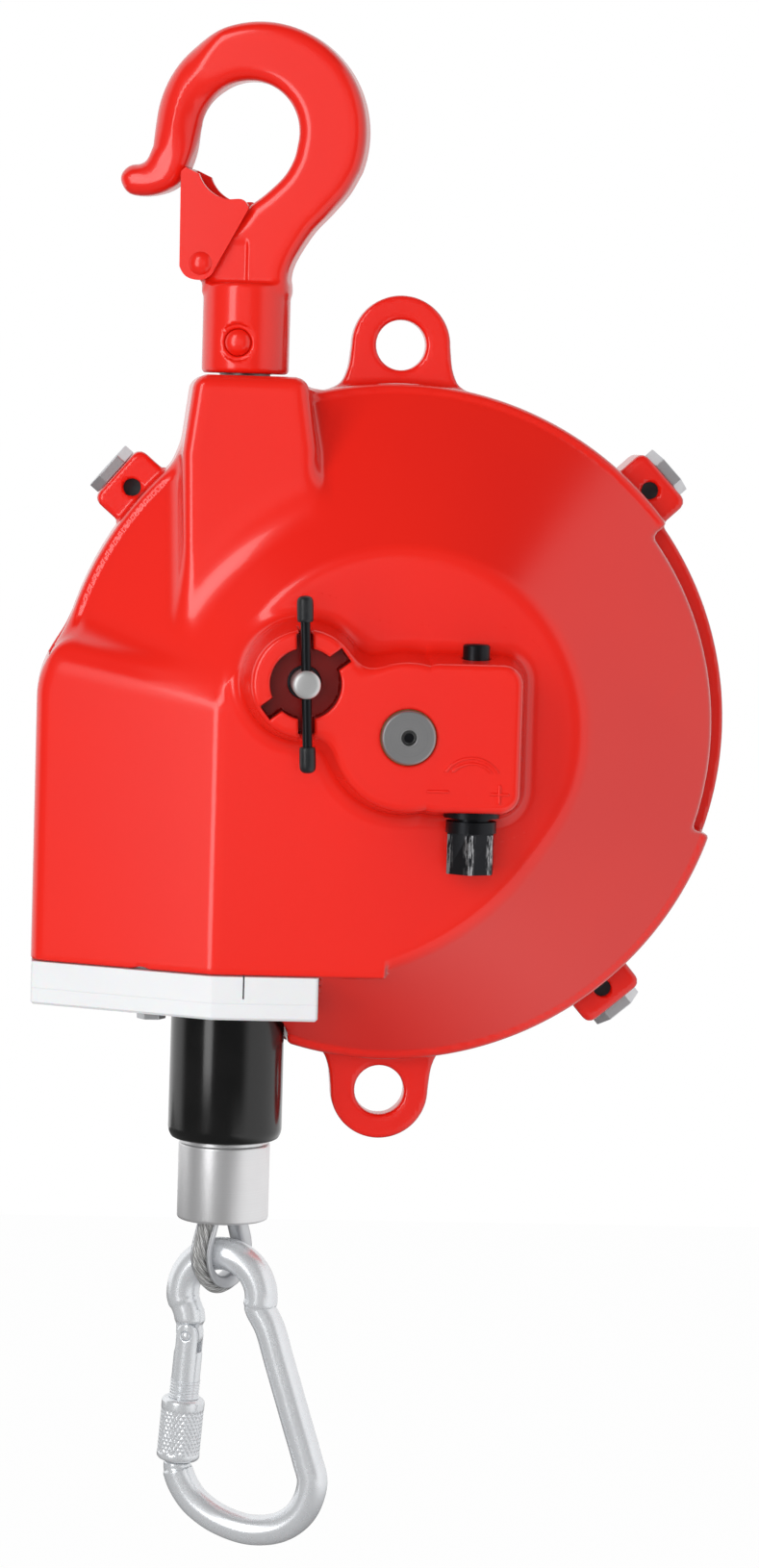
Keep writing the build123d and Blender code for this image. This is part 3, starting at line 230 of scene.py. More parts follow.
def netPiece(name, field, low, high, step, place=drumPlace, soften=0.35):
    # skin of a solid given by a distance field: one point in each cell of a grid that the skin passes
    # through, at the mean of its crossings with the cell's edges, a square round each crossed grid line,
    # and the points then slid down the field's slope until they lie on the skin
    axes = [l + step * np.arange(int(math.ceil((h - l) / step)) + 1) for l, h in zip(low, high)]
    shape = tuple(len(a) for a in axes)
    grid = np.broadcast_to(field(axes[0][:, None, None], axes[1][None, :, None], axes[2][None, None, :]), shape)
    inside = grid < 0
    corners = np.array([(i, j, k) for i in (0, 1) for j in (0, 1) for k in (0, 1)])
    held = sum(inside[i:shape[0] - 1 + i, j:shape[1] - 1 + j, k:shape[2] - 1 + k].astype(np.int8)
               for i, j, k in corners)
    cells = np.argwhere((held > 0) & (held < 8))
    values = np.stack([grid[tuple((cells + c).T)] for c in corners], 1)
    total, count = np.zeros((len(cells), 3)), np.zeros(len(cells))
    for a in range(8):
        for b in range(a + 1, 8):
            if np.abs(corners[a] - corners[b]).sum() == 1:
                crossed = (values[:, a] < 0) != (values[:, b] < 0)
                t = np.where(crossed, values[:, a] / np.where(crossed, values[:, a] - values[:, b], 1.0), 0.0)
                total += crossed[:, None] * (corners[a] + t[:, None] * (corners[b] - corners[a]))
                count += crossed
    points = np.array([a[0] for a in axes]) + step * (cells + total / count[:, None])
    number = np.full(tuple(n - 1 for n in shape), -1, np.int32)
    number[tuple(cells.T)] = np.arange(len(cells))
    quads = []
    for axis in range(3):
        one, two = np.eye(3, dtype=int)[(axis + 1) % 3], np.eye(3, dtype=int)[(axis + 2) % 3]
        lower = np.take(inside, range(shape[axis] - 1), axis)
        upper = np.take(inside, range(1, shape[axis]), axis)
        starts = np.argwhere(lower != upper)
        others = [k for k in range(3) if k != axis]
        keep = np.all([(starts[:, k] > 0) & (starts[:, k] < shape[k] - 1) for k in others], axis=0)
        starts = starts[keep]
        quad = np.stack([number[tuple((starts + off).T)] for off in (-one - two, -two, 0 * one, -one)], 1)
        fromInside = inside[tuple(starts.T)]
        quads.append(np.where(fromInside[:, None], quad, quad[:, ::-1]))
    for _ in range(4):
        slope = gradient(field, points, 0.08 * step)
        move = slope * (field(*points.T) / np.maximum(np.sum(slope * slope, 1), 0.05))[:, None]
        size = np.linalg.norm(move, axis=1)[:, None]
        points = points - move * np.minimum(1.0, 0.35 * step / np.maximum(size, 1e-9))
    normals = gradient(field, points, soften * step)
    normals /= np.maximum(np.linalg.norm(normals, axis=1), 1e-9)[:, None]
    piece = meshPiece(name, points, quads, place, normals)
    print(name, "net:", len(points), "points")
    return piece


# front case casting

casting = {
    "rimRadius": 108.0, "rimFront": -4.0, "plateauRadius": 56.0, "plateauFront": -43.0,
    "shoulderCentre": (-28.3, 6.3), "shoulderRadius": 83.2, "shoulderTop": -19.0, "boxLeft": -113.5, "boxCorner": -57.0,
    "boxFloor": -77.0, "slantBack": -14.0, "pillarFront": -27.0, "pillarTop": 108.7, "lugReach": 120.3,
    "lugRadius": 15.8, "lugHole": 8.0, "lugFront": 13.0, "wall": 4.0, "innerRadius": 98.0,
    "ears": {43.0: 13.0, 139.5: 13.0, -50.0: 13.0, 225.0: 18.5}, "gridStep": 1.3,
}
pillarOutline = rounded([(-68.5, 30.0), (-27.0, 30.0), (-28.0, 86.0), (-31.5, 108.7), (-66.8, 108.7), (-70.0, 84.0)], 5.0)
block = {
    "front": -65.0, "radius": 25.8, "right": 37.5, "half": 25.6, "draft": 7.5, "lock": (-31.7, 15.5),
    "bossRadius": 19.5, "recess": 10.9, "recessFloor": -55.0, "slotAngles": (92.5, 37.0), "slotWidth": 5.0,
    "slotHalf": 15.2, "grooveWidth": 3.7, "grooveHalf": 27.6, "grooveFloor": -56.4, "shaftHole": 8.6, "gridStep": 0.6,
}


def bar(x, z, angle, half, width):
    # slot or bar through the origin with square ends
    c, s = math.cos(math.radians(angle)), math.sin(math.radians(angle))
    return np.maximum(np.abs(x * c + z * s) - half, np.abs(z * c - x * s) - width / 2)


def caseOutside(x, y, z):
    # the round case: a cone that runs from the plateau's outline to the rim, its share of the way
    # being the distance from the outline over the sum of that and the distance to the rim
    g = casting
    r = np.hypot(x, z)
    sx, sz = g["shoulderCentre"]
    shoulder = common(np.hypot(x - sx, z - sz) - g["shoulderRadius"], g["boxFloor"] - z, 2.0)
    shoulder = np.maximum(np.maximum(shoulder, g["boxCorner"] - x), z - g["shoulderTop"])
    outline = joined(r - g["plateauRadius"], shoulder, 1.5)
    climb = outline / (np.maximum(outline, 0.0) + np.maximum(g["rimRadius"] - 3.0 - r, 0.0) + 1e-6)
    cone = (g["plateauFront"] + (g["rimFront"] - g["plateauFront"]) * climb - y) * 0.77
    case = common(cone, g["plateauFront"] - y, 2.2)
    case = common(case, r - g["rimRadius"], 3.0)
    # outlet box: left wall, slanted face, floor and a sloping top with a narrow strip along its front edge
    side = g["boxLeft"] - x
    slant = -0.4567 * (x - g["boxLeft"]) - 0.8897 * (y - g["slantBack"])
    top = (z - 12.4 - 0.101 * (x - g["boxCorner"]) - 0.565 * (y - g["plateauFront"])) / 1.153
    strip = (top + slant + 4.5) / 1.75
    corner = (0.773 * (z - 25.0) - 0.635 * (x - g["boxLeft"] - 8.5))     # the upper left corner is cut off
    side = common(side, corner, 9.0)
    box = common(common(slant, side, 4.0), g["plateauFront"] - y, 0.9)
    box = common(common(box, top, 2.5), strip, 1.5)
    box = common(np.maximum(box, x + 3.0), g["boxFloor"] - z, 1.2)
    case = joined(case, box, 0.3 + 5.7 * ramp(z, 6.0, 14.0))     # a hollow fillet above the box, a crisp edge beside it
    pillar = common(outlineDistance(pillarOutline, x, z) - 5.0, g["pillarFront"] - y, 5.0)
    case = joined(case, pillar, 6.0)
    # lugs above and below with a flared foot, and the web from the pillar to the upper one
    lug = np.hypot(x, np.abs(z) - g["lugReach"]) - g["lugRadius"]
    foot = np.maximum(np.abs(x) - g["lugRadius"] - 0.1 * (g["lugReach"] - np.abs(z)), np.abs(z) - g["lugReach"])
    lug = joined(np.minimum(lug, np.maximum(foot, 95.0 - np.abs(z))), r - g["rimRadius"] + 3.0, 12.0)
    lug = common(lug, g["lugFront"] - y, 1.6)
    case = joined(case, lug, 2.5)
    web = outlineDistance([(-34, 92), (-34, 105), (-27, 104.5), (-22, 100.5), (-19, 92)], x, z)
    case = joined(case, common(web, -y, 1.6), 2.5)
    return common(np.maximum(case, g["plateauFront"] - y), y - caseBack, 0.8)


def earShapes(x, y, z):
    # ears that stand on the rim, each with a blind hole in its face
    shapes, holes = np.inf, np.inf
    g = casting
    for angle, earFront in g["ears"].items():
        c, s = math.cos(math.radians(angle)), math.sin(math.radians(angle))
        out, along = x * c + z * s, z * c - x * s
        ear = common(np.abs(along) - 11.0, out - 118.3, 3.5)
        ear = common(common(np.maximum(ear, 100.0 - out), earFront - y, 2.0), y - 34.0, 1.5)
        shapes = np.minimum(shapes, ear)
        hole = np.hypot(out - 111.6, along) - 2.8
        holes = np.minimum(holes, np.maximum(hole, y - earFront - 7.0))
    behindFlange = np.maximum(np.hypot(x, z) - g["rimRadius"] - 0.35, caseBack - y)   # the rear flange sits here
    shapes = np.maximum(shapes, -behindFlange)
    return shapes, holes


def caseHollows(x, y, z):
    # everything that is cut out of the case: the drum's room, the box's room, bores and holes
    g = casting
    r = np.hypot(x, z)
    drumRoom = np.maximum(r - g["innerRadius"], g["plateauFront"] + g["wall"] - y)
    drumRoom = np.maximum(drumRoom, (r - 54.6 - (y + 39.0) * 1.219) * 0.634)
    slant = -0.4567 * (x - g["boxLeft"]) - 0.8897 * (y - g["slantBack"])
    top = (z - 12.4 - 0.101 * (x - g["boxCorner"]) - 0.565 * (y - g["plateauFront"])) / 1.153
    boxRoom = np.maximum(np.maximum(slant + g["wall"], g["boxLeft"] + g["wall"] - x), top + 6.0)
    boxRoom = np.maximum(np.maximum(boxRoom, g["plateauFront"] + g["wall"] - y), np.maximum(x + 3.0, y - 18.0))
    closedFloor = np.maximum(-28.0 - x, z - g["boxFloor"] - g["wall"])
    boxRoom = np.maximum(np.maximum(boxRoom, g["boxFloor"] - 1.0 - z), -closedFloor)
    lx, lz = block["lock"]
    bores = np.maximum(np.hypot(x - loadX, y) - 15.2, np.maximum(z - 92.7, 56.7 - z))
    bores = np.minimum(bores, np.maximum(np.hypot(x - loadX, y) - 8.3, 90.0 - z))
    bores = np.minimum(bores, np.maximum(r - 16.4, np.maximum(y + 38.0, -60.0 - y)))
    bores = np.minimum(bores, np.maximum(np.hypot(x - lx, z - lz) - 7.2, np.maximum(y + 38.0, -54.0 - y)))
    return np.minimum(drumRoom, boxRoom), bores


def castingField(x, y, z):
    g = casting
    case = caseOutside(x, y, z)
    ears, earHoles = earShapes(x, y, z)
    case = joined(case, ears, 2.0)
    rooms, bores = caseHollows(x, y, z)
    # recess on the right of the rim, between two radii
    r = np.hypot(x, z)
    a, b = math.radians(-18.0), math.radians(37.5)
    sector = np.maximum(math.sin(a) * x - math.cos(a) * z, math.cos(b) * z - math.sin(b) * x)
    recess = common(common(101.5 - r, y - 13.0, 2.0), sector, 2.0)
    # room for the cable guide and the rubber stop under the box
    guide = np.maximum(np.maximum(x + 23.7, y - 15.7), np.maximum(z + 77.05, -90.9 - z))
    stop = np.maximum(np.hypot(x - loadX, y) - 19.3, np.maximum(z + 90.0, -121.0 - z))
    lugHoles = np.hypot(x, np.abs(z) - g["lugReach"]) - g["lugHole"]
    case = common(common(case, -recess, 1.6), -np.minimum(guide, stop), 0.8)
    case = common(common(case, -lugHoles, 1.8), -earHoles, 0.8)
    return common(case, -np.minimum(rooms, bores), 1.0)


def blockOutline(x, z):
    # seen from the front: a round plate squared off to the right, run together with the lock's boss
    g = block
    lx, lz = g["lock"]
    square = outlineDistance(rounded([(0, -g["half"]), (g["right"], -g["half"]), (g["right"], g["half"]),
                                      (0, g["half"])], 9.0), x, z) - 9.0
    plate = np.minimum(np.hypot(x, z) - g["radius"], np.maximum(square, -x))
    return joined(plate, np.hypot(x - lx, z - lz) - g["bossRadius"], 9.0)


def blockField(x, y, z):
    g = block
    lean = math.radians(g["draft"])
    lx, lz = g["lock"]
    outline = blockOutline(x, z)
    body = (outline + np.maximum(-42.0 - y, 0.0) * math.tan(lean)) * math.cos(lean)
    body = common(body, g["front"] - y, 2.2)
    whole = joined(caseOutside(x, y, z), body, 4.5)
    fromLock = np.hypot(x - lx, z - lz)
    recess = fromLock - g["recess"]
    for angle in g["slotAngles"]:
        recess = np.minimum(recess, bar(x - lx, z - lz, angle, g["slotHalf"], g["slotWidth"]))
    holes = np.maximum(recess, y - g["recessFloor"])
    # the rod sinks into a narrow groove through the boss's wall when the lock is pushed in
    groove = bar(x - lx, z - lz, g["slotAngles"][0], g["grooveHalf"], g["grooveWidth"])
    holes = np.minimum(holes, np.maximum(groove, y - g["grooveFloor"]))
    holes = np.minimum(holes, np.maximum(fromLock - 5.2, y + 40.0))
    holes = np.minimum(holes, np.maximum(fromLock - 7.2, -54.0 - y))
    r = np.hypot(x, z)
    holes = np.minimum(holes, r - g["shaftHole"])
    holes = np.minimum(holes, np.maximum(r - 16.4, -60.0 - y))
    worm = np.hypot(x - 21.0, y + 53.0)
    holes = np.minimum(holes, np.maximum(worm - 8.7, z - 15.0))
    holes = np.minimum(holes, worm - 4.25)
    whole = common(whole, -holes, 0.9)
    # only the part near the block is kept; it stands a hair proud of the casting that it belongs to
    return np.maximum(whole - 0.03, np.maximum(outline - 8.0, y + 40.2))


def rideOn(piece, body, slot, *nodes):
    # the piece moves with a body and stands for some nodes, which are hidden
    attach(piece, body)
    if nodes:
        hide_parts(*nodes)
    return piece


coarse = 1.0
caseCasting = rideOn(
    netPiece("case_casting", castingField, (-116.5, -46.0, -139.0), (120.5, 37.0, 139.0), casting["gridStep"] * coarse, soften=0.4),
    "housing", "red_paint", "front_case")
wormBlock = rideOn(
    netPiece("worm_block", blockField, (-61.0, -67.0, -35.0), (47.0, -38.5, 45.0), block["gridStep"] * coarse),
    "housing", "red_paint", "front_case")
print("front case done")

marks = {"minus": (9.4, -16.2, 3.1), "plus": (28.2, -16.7, 2.6), "arc": (19.6, -15.2, 8.6), "line": 0.46, "height": 0.75}


def marksField(x, y, z):
    # a minus, a plus and a double bowed line, raised a little from the block's face
    mx, mz, half = marks["minus"]
    px, pz, reach = marks["plus"]
    ax, az, bow = marks["arc"]
    strokes = np.hypot(np.maximum(np.abs(x - mx) - half, 0), z - mz)
    strokes = np.minimum(strokes, np.hypot(np.maximum(np.abs(x - px) - reach, 0), z - pz))
    strokes = np.minimum(strokes, np.hypot(x - px, np.maximum(np.abs(z - pz) - reach, 0)))
    fromArc = np.abs(np.abs(np.hypot(x - ax, z - az) - bow) - 0.85)
    strokes = np.minimum(strokes, np.maximum(fromArc, az + 5.4 - z))
    raised = common(strokes - marks["line"], block["front"] - marks["height"] - y, 0.45)
    return np.maximum(raised, y - block["front"] - 0.5)


rideOn(netPiece("block_marks", marksField, (4.0, -66.2, -21.0), (34.0, -64.0, -4.0), 0.22 * coarse),
       "housing", "red_paint", "front_case")


# turned pieces

def turnedPiece(name, profile, place, segments=96, closed=False, relief=None, bend=0.0):
    # a profile of radius and height pairs carried round the local z line; relief moves the skin
    # outward by a function of height and turn; a radius of nearly nothing closes an end
    profile = np.asarray(profile, float)
    turn = np.linspace(0.0, 2 * math.pi, segments, endpoint=False)
    radius, height = profile[:, 0][:, None], profile[:, 1][:, None]
    if relief is not None:
        radius = radius + relief(height, turn[None, :])
    points = np.stack([radius * np.cos(turn), radius * np.sin(turn), height + 0 * turn], 2).reshape(-1, 3)
    rows = len(profile)
    a = np.arange(rows * segments).reshape(rows, segments)
    if closed:
        a = np.vstack([a, a[:1]])
    b = np.roll(a, -1, axis=1)
    quads = np.stack([a[:-1], b[:-1], b[1:], a[1:]], 2).reshape(-1, 4)
    faces = [quads]
    if not closed:
        ends = np.array([[0, 0, profile[0, 1]], [0, 0, profile[-1, 1]]])
        points = np.vstack([points, ends])
        first, last = a[0], a[rows - 1]
        n = rows * segments
        faces.append(np.stack([np.roll(first, -1), first, np.full(segments, n)], 1))
        faces.append(np.stack([last, np.roll(last, -1), np.full(segments, n + 1)], 1))
    area = np.sum(profile[:-1, 0] * np.diff(profile[:, 1]))
    if area < 0:
        faces = [f[:, ::-1] for f in faces]
    piece = meshPiece(name, points, faces, place)
    piece.data.set_sharp_from_angle(angle=math.radians(38))
    return piece


def roundedProfile(corners, radii, steps=6):
    # an open profile whose corners are rounded by quarter-like curves of the given radii
    corners = np.asarray(corners, float)
    points = [corners[0][None]]
    for k in range(1, len(corners) - 1):
        here, radius = corners[k], radii[k]
        if radius == 0:
            points.append(here[None])
            continue
        back, ahead = corners[k - 1] - here, corners[k + 1] - here
        back, ahead = back / np.linalg.norm(back), ahead / np.linalg.norm(ahead)
        t = np.linspace(0, 1, steps)[:, None]
        points.append(here + back * radius * (1 - t) ** 2 + ahead * radius * t ** 2)
    points.append(corners[-1][None])
    return np.vstack(points)


loadPlace = Place((0.0, 0.0, axisZ), x=(1, 0, 0), z=(0, 0, 1), n=(0, 1, 0))
spinPlace = Place((0.0, 0.0, axisZ))
spinPlace.turn = np.array([(1, 0, 0), (0, 1, 0), (0, 0, 1)], float)   # local x, y, z for turned pieces


def lathePlace(origin, axis, across):
    # turned pieces: local z along the axis, local x along a direction across it
    axis, across = np.asarray(axis, float), np.asarray(across, float)
    axis /= np.linalg.norm(axis)
    across = across - axis * (across @ axis)
    across /= np.linalg.norm(across)
    made = Place(origin)
    made.turn = np.array([across, np.cross(axis, across), axis])
    return made


stop = {"radius": 18.25, "top": -90.95, "bottom": -134.5, "edge": 2.6}
rideOn(turnedPiece("rubber_stop_skin", roundedProfile(
    [(3.0, stop["bottom"]), (stop["radius"] - 1.6, stop["bottom"]), (stop["radius"], stop["bottom"] + 2.0),
     (stop["radius"] - 0.15, stop["top"]), (3.0, stop["top"])], [0, 1.2, 1.9, 1.0, 0]),
    spinPlace, 128), "load_end", "black_rubber", "rubber_stop")
ferrule = {"radius": 14.65, "top": -134.5, "bottom": -160.5, "step": 1.7, "edge": 1.0}
rideOn(turnedPiece("ferrule_skin", roundedProfile(
    [(0.01, ferrule["bottom"]), (ferrule["radius"], ferrule["bottom"]),
     (ferrule["radius"], ferrule["top"] - ferrule["step"]), (ferrule["radius"] - 0.55, ferrule["top"] - ferrule["step"] + 0.5),
     (ferrule["radius"] - 0.55, ferrule["top"] - 0.02), (2.5, ferrule["top"] - 0.02)], [0, 1.1, 0.4, 0.3, 0.3, 0]),
    spinPlace, 128), "load_end", "bare_aluminium", "ferrule")
print("rubber stop and ferrule done")


# rope loop, thimble

loop = {"inner": 7.8, "sheet": 1.1, "rope": 2.38, "lean": 22.0, "centre": -171.3, "turn": -51.0, "lay": 27.0}
loopPlace = yawedPlace(loop["turn"], (0.0, 0.0, axisZ + loop["centre"]))


def loopPath(reach, top, count):
    # two straight legs that close upwards, and the round bottom between them
    lean = math.radians(loop["lean"])
    lift = (top - reach * math.sin(lean)) / math.cos(lean)
    end = reach * math.cos(lean) - lift * math.sin(lean)
    bottom = arcPoints((0.0, 0.0), reach, 180 - loop["lean"], 360 + loop["lean"], 60)
    corners = np.vstack([[(-end, top)], bottom, [(end, top)]])
    length = np.append(0.0, np.cumsum(np.linalg.norm(np.diff(corners, axis=0), axis=1)))
    s = np.linspace(0.0, length[-1], count)
    return np.stack([np.interp(s, length, corners[:, k]) for k in range(2)], 1), s


def sweepPiece(name, centres, outward, across, section, place, s, vTurns=1.0, capped=True):
    # a closed section carried along a path: each ring of points is the path's point plus the
    # section's first value along outward and its second along across
    rings = centres[:, None, :] + section[:, :, :1] * outward[:, None, :] + section[:, :, 1:] * across[:, None, :]
    rows, sides = rings.shape[:2]
    points = rings.reshape(-1, 3)
    a = np.arange(rows * sides).reshape(rows, sides)
    b = np.roll(a, -1, axis=1)
    faces = [np.stack([a[:-1], b[:-1], b[1:], a[1:]], 2).reshape(-1, 4)]
    uv = np.stack(np.broadcast_arrays(s[:, None], np.linspace(0, vTurns, sides)[None, :]), 2).reshape(-1, 2)
    if capped:
        n = len(points)
        points = np.vstack([points, rings[0].mean(0)[None], rings[-1].mean(0)[None]])
        uv = np.vstack([uv, uv[:1], uv[-1:]])
        faces.append(np.stack([np.roll(a[0], -1), a[0], np.full(sides, n)], 1))
        faces.append(np.stack([a[-1], np.roll(a[-1], -1), np.full(sides, n + 1)], 1))
    piece = meshPiece(name, points, faces, place, uv=uv)
    turnOut(piece)
    return piece


def turnOut(piece):
    # all faces made to point outwards
    made = bmesh.new()
    made.from_mesh(piece.data)
    bmesh.ops.recalc_face_normals(made, faces=made.faces[:])
    made.to_mesh(piece.data)
    made.free()


def planeFrame(path):
    # for a path in the local x-z plane: its points in space, the direction across it in the plane, and n
    slope = np.gradient(path, axis=0)
    slope /= np.linalg.norm(slope, axis=1)[:, None]
    zero = np.zeros(len(path))
    points = np.stack([path[:, 0], zero, path[:, 1]], 1)
    outward = np.stack([-slope[:, 1], zero, slope[:, 0]], 1)
    return points, outward, np.tile([0.0, 1.0, 0.0], (len(path), 1)), np.stack([slope[:, 0], zero, slope[:, 1]], 1)


ropeReach = loop["inner"] + loop["sheet"] + loop["rope"] + 0.03
ropeTop = ferrule["bottom"] - loop["centre"] + 0.5
path, s = loopPath(ropeReach, ropeTop, 150)
centre, outward, across, along = planeFrame(path)
strandRadius = loop["rope"] / 3.0
angles = np.linspace(0, 2 * math.pi, 13)[:-1]
for strand in range(7):
    turn = 2 * math.pi * (s / loop["lay"] + strand / 6.0)
    off = (loop["rope"] - strandRadius) * (strand < 6)
    lean = (outward * np.cos(turn)[:, None] + across * np.sin(turn)[:, None])
    middle = centre + off * lean
    tangent = np.gradient(middle, axis=0)
    tangent /= np.linalg.norm(tangent, axis=1)[:, None]
    other = np.cross(tangent, lean)
    thick = strandRadius * (1.0 if strand < 6 else 0.95)
    section = np.broadcast_to(thick * np.stack([np.cos(angles), np.sin(angles)], 1), (len(s), 12, 2))
    wire = sweepPiece(f"rope_strand_{strand}", middle, lean, other, section, loopPlace, s / 6.0)
    rideOn(wire, "load_end", "wire_rope", "rope_loop")

# thimble: a gutter of thin sheet bent round the loop, its two edges standing along the rope
gutter = {"lip": 3.3, "half": 3.45, "sheet": 0.75}
path, s = loopPath(loop["inner"] + loop["sheet"] * 0.5, ferrule["bottom"] - loop["centre"] - 0.25, 110)
centre, outward, across, along = planeFrame(path)
outside = np.array([(gutter["lip"], -gutter["half"] - 0.05), (1.7, -gutter["half"] + 0.15), (0.2, -2.7), (-0.45, -1.5),
                    (-0.55, 0.0), (-0.45, 1.5), (0.2, 2.7), (1.7, gutter["half"] - 0.15), (gutter["lip"], gutter["half"] + 0.05)])
outside = smoothCurve(outside, 23)
slope = np.gradient(outside, axis=0)
slope /= np.linalg.norm(slope, axis=1)[:, None]
inside = outside + gutter["sheet"] * np.stack([slope[:, 1], -slope[:, 0]], 1)
sheet = np.vstack([outside, inside[::-1]])
towardRope = 1.0 if (outward[55] @ np.array([0, 0, -1.0])) > 0 else -1.0
section = np.broadcast_to(sheet * np.array([towardRope, 1.0]), (len(s), len(sheet), 2))
rideOn(sweepPiece("thimble_sheet", centre, outward, across, section, loopPlace, s / 6.0), "load_end", "zinc", "thimble")

# the straight run of the cable hangs between the case and the load end, and lengthens as it is paid out
runLow, runHigh = (corner[2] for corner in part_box("cable_run"))
runHeights = np.linspace(runLow, runHigh, 41) * 1000.0 - axisZ
runProfile = np.stack([np.full(41, loop["rope"]), runHeights], 1)
cableRun = turnedPiece("cable_run_skin", np.vstack([(0.02, runHeights[0]), runProfile, (0.02, runHeights[-1])]), spinPlace, 24)
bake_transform(cableRun, "housing", "load_end", start=(0, 0, runHigh - 0.005), end=(0, 0, runLow + 0.002))
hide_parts("cable_run")
print("rope loop and thimble done")


# top hook: a forged bar and its collar, in the hook's own plane

hook = {"yaw": 14.0, "bowl": (0.0, -16.0), "bowlRadius": 16.0, "half": 7.5, "collarRadius": 13.8,
        "collarTop": -63.4, "collarBottom": -91.5, "pinHeight": -82.0, "latchPin": (-13.2, -57.5), "gridStep": 0.85}
hookPlace = yawedPlace(hook["yaw"])
hookOutline = np.vstack([
    arcPoints(hook["bowl"], 16.0, 173.0, -12.0, 40),
    smoothCurve([(15.65, -19.33), (14.6, -24.0), (11.6, -29.5), (6.0, -35.0), (1.4, -38.5)], 20)[1:],
    [(-2.0, -43.0), (-13.0, -52.0)],
    smoothCurve([(-13.0, -52.0), (-17.2, -55.0), (-17.6, -57.5), (-15.8, -61.8), (-13.4, -63.4)], 12)[1:],
    [(-13.4, -66.0), (13.4, -66.0)],
    smoothCurve([(13.4, -63.4), (13.9, -59.0), (15.8, -54.5), (20.6, -47.0), (26.0, -41.2), (31.6, -34.6), (35.46, -27.7)], 24)[:-1],
    arcPoints((3.0, -16.0), 34.5, -19.8, 187.7, 60),
    smoothCurve([(-31.19, -20.62), (-33.6, -26.0), (-38.9, -27.8), (-41.4, -31.0), (-38.4, -35.9), (-30.0, -36.1),
                 (-22.3, -32.3), (-17.9, -23.0), (-15.88, -14.05)], 50)[1:-1],
])


def pathDistance(path, lengths, x, z):
    # nearest distance in the plane to a line of short runs, and how far along the line that is
    nearest, where = np.inf, 0.0
    for (ax, az), (bx, bz), start, end in zip(path[:-1], path[1:], lengths[:-1], lengths[1:]):
        runX, runZ = bx - ax, bz - az
        t = np.clip(((x - ax) * runX + (z - az) * runZ) / (runX ** 2 + runZ ** 2), 0.0, 1.0)
        far = (x - ax - t * runX) ** 2 + (z - az - t * runZ) ** 2
        where = np.where(far < nearest, start + t * (end - start), where)
        nearest = np.minimum(nearest, far)
    return np.sqrt(nearest), where


tipPath = smoothCurve([(-23.0, -6.0), (-24.2, -18.0), (-27.5, -26.5), (-33.0, -30.3), (-37.0, -30.8)], 14)
tipLength = np.concatenate([[0.0], np.cumsum(np.hypot(*np.diff(tipPath, axis=0).T))])


def hookField(x, n, z):
    inPlane = outlineDistance(hookOutline, x, z)
    thin = 1.6 * ramp(-x, 22.0, 38.0) * ramp(z, -44.0, -38.0) + 0.45 * ramp(-(x - 1.6), 0.0, 0.8) * ramp(-z, 49.0, 52.0)
    edge = 5.0 + 6.0 * ramp(-x, 8.0, 20.0) * ramp(z, -26.0, -12.0)
    bar = common(inPlane, np.abs(n) - (hook["half"] - thin), edge)
    collar = common(np.hypot(x, n) - hook["collarRadius"], np.maximum(z - hook["collarTop"], hook["collarBottom"] - z), 1.6)
    away, where = pathDistance(tipPath, tipLength, x, z)
    tip = np.hypot(away, n) - (5.0 + 0.9 * ramp(where, 0.0, 10.0) - 1.7 * ramp(where, 14.0, tipLength[-1]))
    whole = joined(joined(bar, collar, 2.2), tip, 1.2)
    whole = common(whole, -np.maximum(np.hypot(x, z - hook["pinHeight"]) - 5.7, 12.9 - np.abs(n)), 0.8)
    pinHoles = np.minimum(np.hypot(x, z - hook["pinHeight"]) - 4.3, np.maximum(np.hypot(x, n) - 8.05, z + 70.0))
    px, pz = hook["latchPin"]
    pinHoles = np.minimum(pinHoles, np.hypot(x - px, z - pz) - 2.65)
    slot = np.maximum(np.maximum(np.abs(x - px + 3.0) - 8.5, np.abs(z - pz) - 5.5), np.abs(n) - 3.2)
    return common(whole, -np.minimum(pinHoles, slot), 0.8)


rideOn(netPiece("hook_forging", hookField, (-43.5, -15.5, -93.5), (40.0, 15.5, 20.5), hook["gridStep"] * coarse, hookPlace),
       "hook", "red_paint", "top_hook")


def rivetPiece(name, place, profile):
    # a rivet headed alike at both ends: the profile and its mirror image
    profile = np.asarray(profile, float)
    return turnedPiece(name, np.vstack([profile * (1, -1), profile[::-1]]), place, 40)


def hookPoint(x, z):
    return hookPlace.out([x, 0.0, z])


hookNormal = hookPlace.turn[1]
pinHead = smoothCurve([(0.02, 14.55), (1.4, 14.45), (2.8, 14.0), (3.8, 13.2), (4.2, 12.3)], 10)
rideOn(rivetPiece("collar_rivet", lathePlace(hookPoint(0.0, hook["pinHeight"]), hookNormal, (0, 0, 1)), pinHead),
       "hook", "red_paint", "stem_pin")
latchHead = np.vstack([smoothCurve([(0.02, 11.35), (1.5, 11.2), (2.9, 10.6), (3.65, 9.92)], 9), [(2.58, 9.88)]])
rideOn(rivetPiece("latch_rivet_headed", lathePlace(hookPoint(*hook["latchPin"]), hookNormal, (0, 0, 1)), latchHead),
       "hook", "red_paint", "latch_rivet")
print("top hook done")


# carabiner, in its own plane, heights from the drum axis

